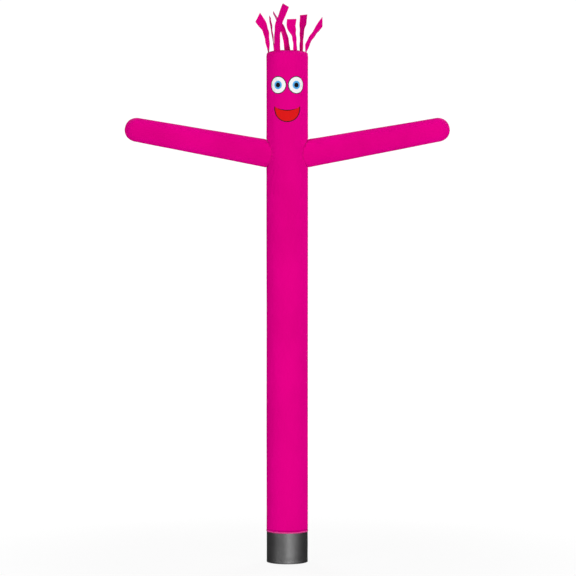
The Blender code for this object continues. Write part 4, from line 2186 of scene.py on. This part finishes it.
@dataclass(frozen=True)
class Studio:
    """Floor, light and camera."""

    middle: Vector = Vector((0.0087, 0.0, 3.0297))
    eye: Vector = Vector((0.0087, -28.0, 4.2))
    view_width: float = 6.3511
    sensor_width: float = 36.0
    farthest: float = 400.0
    floor_radius: float = 80.0
    floor_drop: float = 0.0005
    horizon: tuple[float, float] = (0.10, 0.55)
    low_light: float = 0.03
    high_light: float = 0.30
    wall_light: float = 1.05
    softboxes: tuple[Softbox, ...] = (
        Softbox("key", (2.4, -16.0, 2.6), (6.0, 6.0), 1670.0),
        Softbox("left", (-11.2, -11.6, 4.8), (7.0, 6.0), 950.0),
        Softbox("right", (10.6, -12.0, 4.6), (7.0, 6.0), 860.0),
        Softbox("back_left", (-5.5, 12.0, 13.0), (6.0, 6.0), 1050.0),
        Softbox("back_right", (6.5, 11.5, 12.0), (6.0, 6.0), 950.0),
    )

    def build(self, floor: Finish) -> None:
        """Set the studio up round the object.

        Args:
            floor: the floor's material.
        """
        self.lay_floor(floor)
        self.light_room()
        for softbox in self.softboxes:
            self.hang(softbox)
        self.set_camera()

    def lay_floor(self, finish: Finish) -> None:
        """Lay a wide round floor under the object.

        Args:
            finish: the floor's material.
        """
        bm = bmesh.new()
        bmesh.ops.create_circle(bm, cap_ends=True, segments=96, radius=self.floor_radius)
        floor = add_mesh("studio_floor", bm, finish)
        floor.location.z = -self.floor_drop

    def light_room(self) -> None:
        """Light the room softly, more from above, and show the camera a white wall."""
        world = bpy.data.worlds.new("studio")
        bpy.context.scene.world = world
        world.use_nodes = True
        nodes = world.node_tree.nodes
        nodes.clear()
        link = world.node_tree.links.new
        output = nodes.new("ShaderNodeOutputWorld")
        dim = nodes.new("ShaderNodeBackground")
        dim.inputs["Color"].default_value = (1.0, 1.0, 1.0, 1.0)
        aim = nodes.new("ShaderNodeTexCoord")
        split = nodes.new("ShaderNodeSeparateXYZ")
        link(aim.outputs["Generated"], split.inputs["Vector"])
        rise = nodes.new("ShaderNodeMapRange")
        rise.interpolation_type = "SMOOTHSTEP"
        link(split.outputs["Z"], rise.inputs["Value"])
        rise.inputs["From Min"].default_value = self.horizon[0]
        rise.inputs["From Max"].default_value = self.horizon[1]
        rise.inputs["To Min"].default_value = self.low_light
        rise.inputs["To Max"].default_value = self.high_light
        link(rise.outputs["Result"], dim.inputs["Strength"])
        wall = nodes.new("ShaderNodeBackground")
        wall.inputs["Color"].default_value = (1.0, 1.0, 1.0, 1.0)
        wall.inputs["Strength"].default_value = self.wall_light
        path = nodes.new("ShaderNodeLightPath")
        both = nodes.new("ShaderNodeMixShader")
        link(path.outputs["Is Camera Ray"], both.inputs["Fac"])
        link(dim.outputs["Background"], both.inputs[1])
        link(wall.outputs["Background"], both.inputs[2])
        link(both.outputs["Shader"], output.inputs["Surface"])

    def hang(self, softbox: Softbox) -> None:
        """Hang a soft light that looks at the object's middle.

        Args:
            softbox: the light.
        """
        data = bpy.data.lights.new(softbox.name, "AREA")
        data.shape = "RECTANGLE"
        data.size, data.size_y = softbox.size
        data.energy = softbox.power
        light = bpy.data.objects.new(softbox.name, data)
        light.location = softbox.place
        aim = self.middle - light.location
        light.rotation_euler = aim.to_track_quat("-Z", "Y").to_euler()
        bpy.context.collection.objects.link(light)

    def set_camera(self) -> None:
        """Put the camera at the photograph's angle and framing."""
        data = bpy.data.cameras.new("camera")
        camera = bpy.data.objects.new("camera", data)
        camera.location = self.eye
        aim = self.middle - self.eye
        camera.rotation_euler = aim.to_track_quat("-Z", "Y").to_euler()
        data.sensor_width = self.sensor_width
        data.lens = self.sensor_width * aim.length / self.view_width
        data.clip_end = self.farthest
        bpy.context.collection.objects.link(camera)
        scene = bpy.context.scene
        scene.camera = camera
        scene.view_settings.view_transform = "Standard"
        scene.view_settings.look = "None"


@dataclass
class AirDancer:
    """The whole figure, put together from its sewn pieces.

    Each pair of stitch rows is given as heights over a foot or as distances from a seam.
    """

    wardrobe: Wardrobe
    arm_height: float = 4.512
    hem_fold: float = 0.001
    hem_rows: tuple[float, float] = (0.021, 0.026)
    back_rows: tuple[float, float] = (-0.005, 0.005)
    sleeve_rows: tuple[float, float] = (-0.004, 0.004)
    cuff_rows: tuple[float, float] = (0.026, 0.031)
    crown_drop: float = 0.007
    crown_share: float = 0.07
    root_gap: float = 0.006
    edge_thread: float = 0.0008
    edge_overlap: float = 1.14

    def __post_init__(self) -> None:
        """Read the sizes of the pieces from the frame."""
        tube_low, tube_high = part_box("body_tube")
        crown_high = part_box("crown_panel")[1]
        cuff_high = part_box("base_cuff")[1]
        radius = tube_high[0] - self.hem_fold
        self.sleeves = (
            Sleeve("left_arm", -1, radius, self.arm_height),
            Sleeve("right_arm", 1, radius, self.arm_height),
        )
        self.tube = BodyTube(radius, tube_low[2], tube_high[2], self.sleeves)
        self.crown = CrownPanel(crown_high[0], tube_high[2], crown_high[2] - tube_high[2])
        self.cuff = BaseCuff(crown_high[0], cuff_high[2])
        self.streamers = [
            Streamer(node, slant, stations, float(number))
            for number, (node, (slant, stations)) in enumerate(STREAMER_TABLE.items())
        ]

    def crown_height(self, radius: float) -> float:
        """Give the smooth crown's height at a radius.

        Args:
            radius: distance from the middle.

        Returns:
            The height.
        """
        crown = self.crown
        share = min(1.0, radius / crown.radius)
        return crown.seam_height + crown.rise * (1 - share ** crown.power) ** (1 / crown.power)

    def build_cloth(self) -> None:
        """Build every sheet of cloth."""
        self.cuff.build(self.wardrobe.coated)
        self.tube.build(self.wardrobe.printed_nylon)
        for sleeve in self.sleeves:
            sleeve.build(self.wardrobe.nylon)
        self.crown.build(self.wardrobe.nylon)
        for streamer in self.streamers:
            streamer.build(self.wardrobe.streamer_nylon, self.crown_height)

    def sew(self) -> None:
        """Sew every seam and hem."""
        sewing = Stitching()
        tree = sewing.tree()
        tube = self.tube
        pink = self.wardrobe.pink_thread
        hem = [tube.ring_path(tube.bottom + lift) for lift in self.hem_rows]
        sewing.build("body_hem_stitches", tree, hem, pink, Slot.NYLON)
        # The edge stitches are real overlock stitching, and their pale thread also paints the rolled
        # edge's highlight.
        edge = tube.edge_path()
        half_leg = path_length(edge) / (2 * tube.edge_legs + 0.5)
        edging = Stitching(half_leg, self.edge_overlap * half_leg, self.edge_thread)
        edging.build("body_edge_stitches", tree, [edge], self.wardrobe.pale_highlight_thread, Slot.NYLON)
        back = [tube.seam_path(offset) for offset in self.back_rows]
        sewing.build("body_seam_stitches", tree, back, pink, Slot.NYLON)
        crown = [tube.ring_path(tube.top - self.crown_drop), self.crown.ring_path(self.crown_share)]
        sewing.build("crown_seam_stitches", tree, crown, pink, Slot.NYLON)
        for sleeve in self.sleeves:
            name = sleeve.node + "_stitches"
            rings = [sleeve.ring_path(self.root_gap), tube.hole_path(sleeve, self.root_gap)]
            long_rows = [sleeve.seam_path(offset) for offset in self.sleeve_rows]
            sewing.build(name, tree, rings + long_rows, pink, Slot.NYLON)
        cuff = [self.cuff.ring_path(height) for height in self.cuff_rows]
        sewing.build("cuff_hem_stitches", tree, cuff, self.wardrobe.black_thread, Slot.COATED)


def main() -> None:
    """Build the figure and its studio, piece by piece."""
    logging.basicConfig(level=logging.INFO, format="%(name)s %(message)s")
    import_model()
    wardrobe = Wardrobe(tube_foot=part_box("body_tube")[0][2])
    Studio().build(wardrobe.floor)
    dancer = AirDancer(wardrobe)
    dancer.build_cloth()
    dancer.sew()


if __name__ == "__main__":
    main()
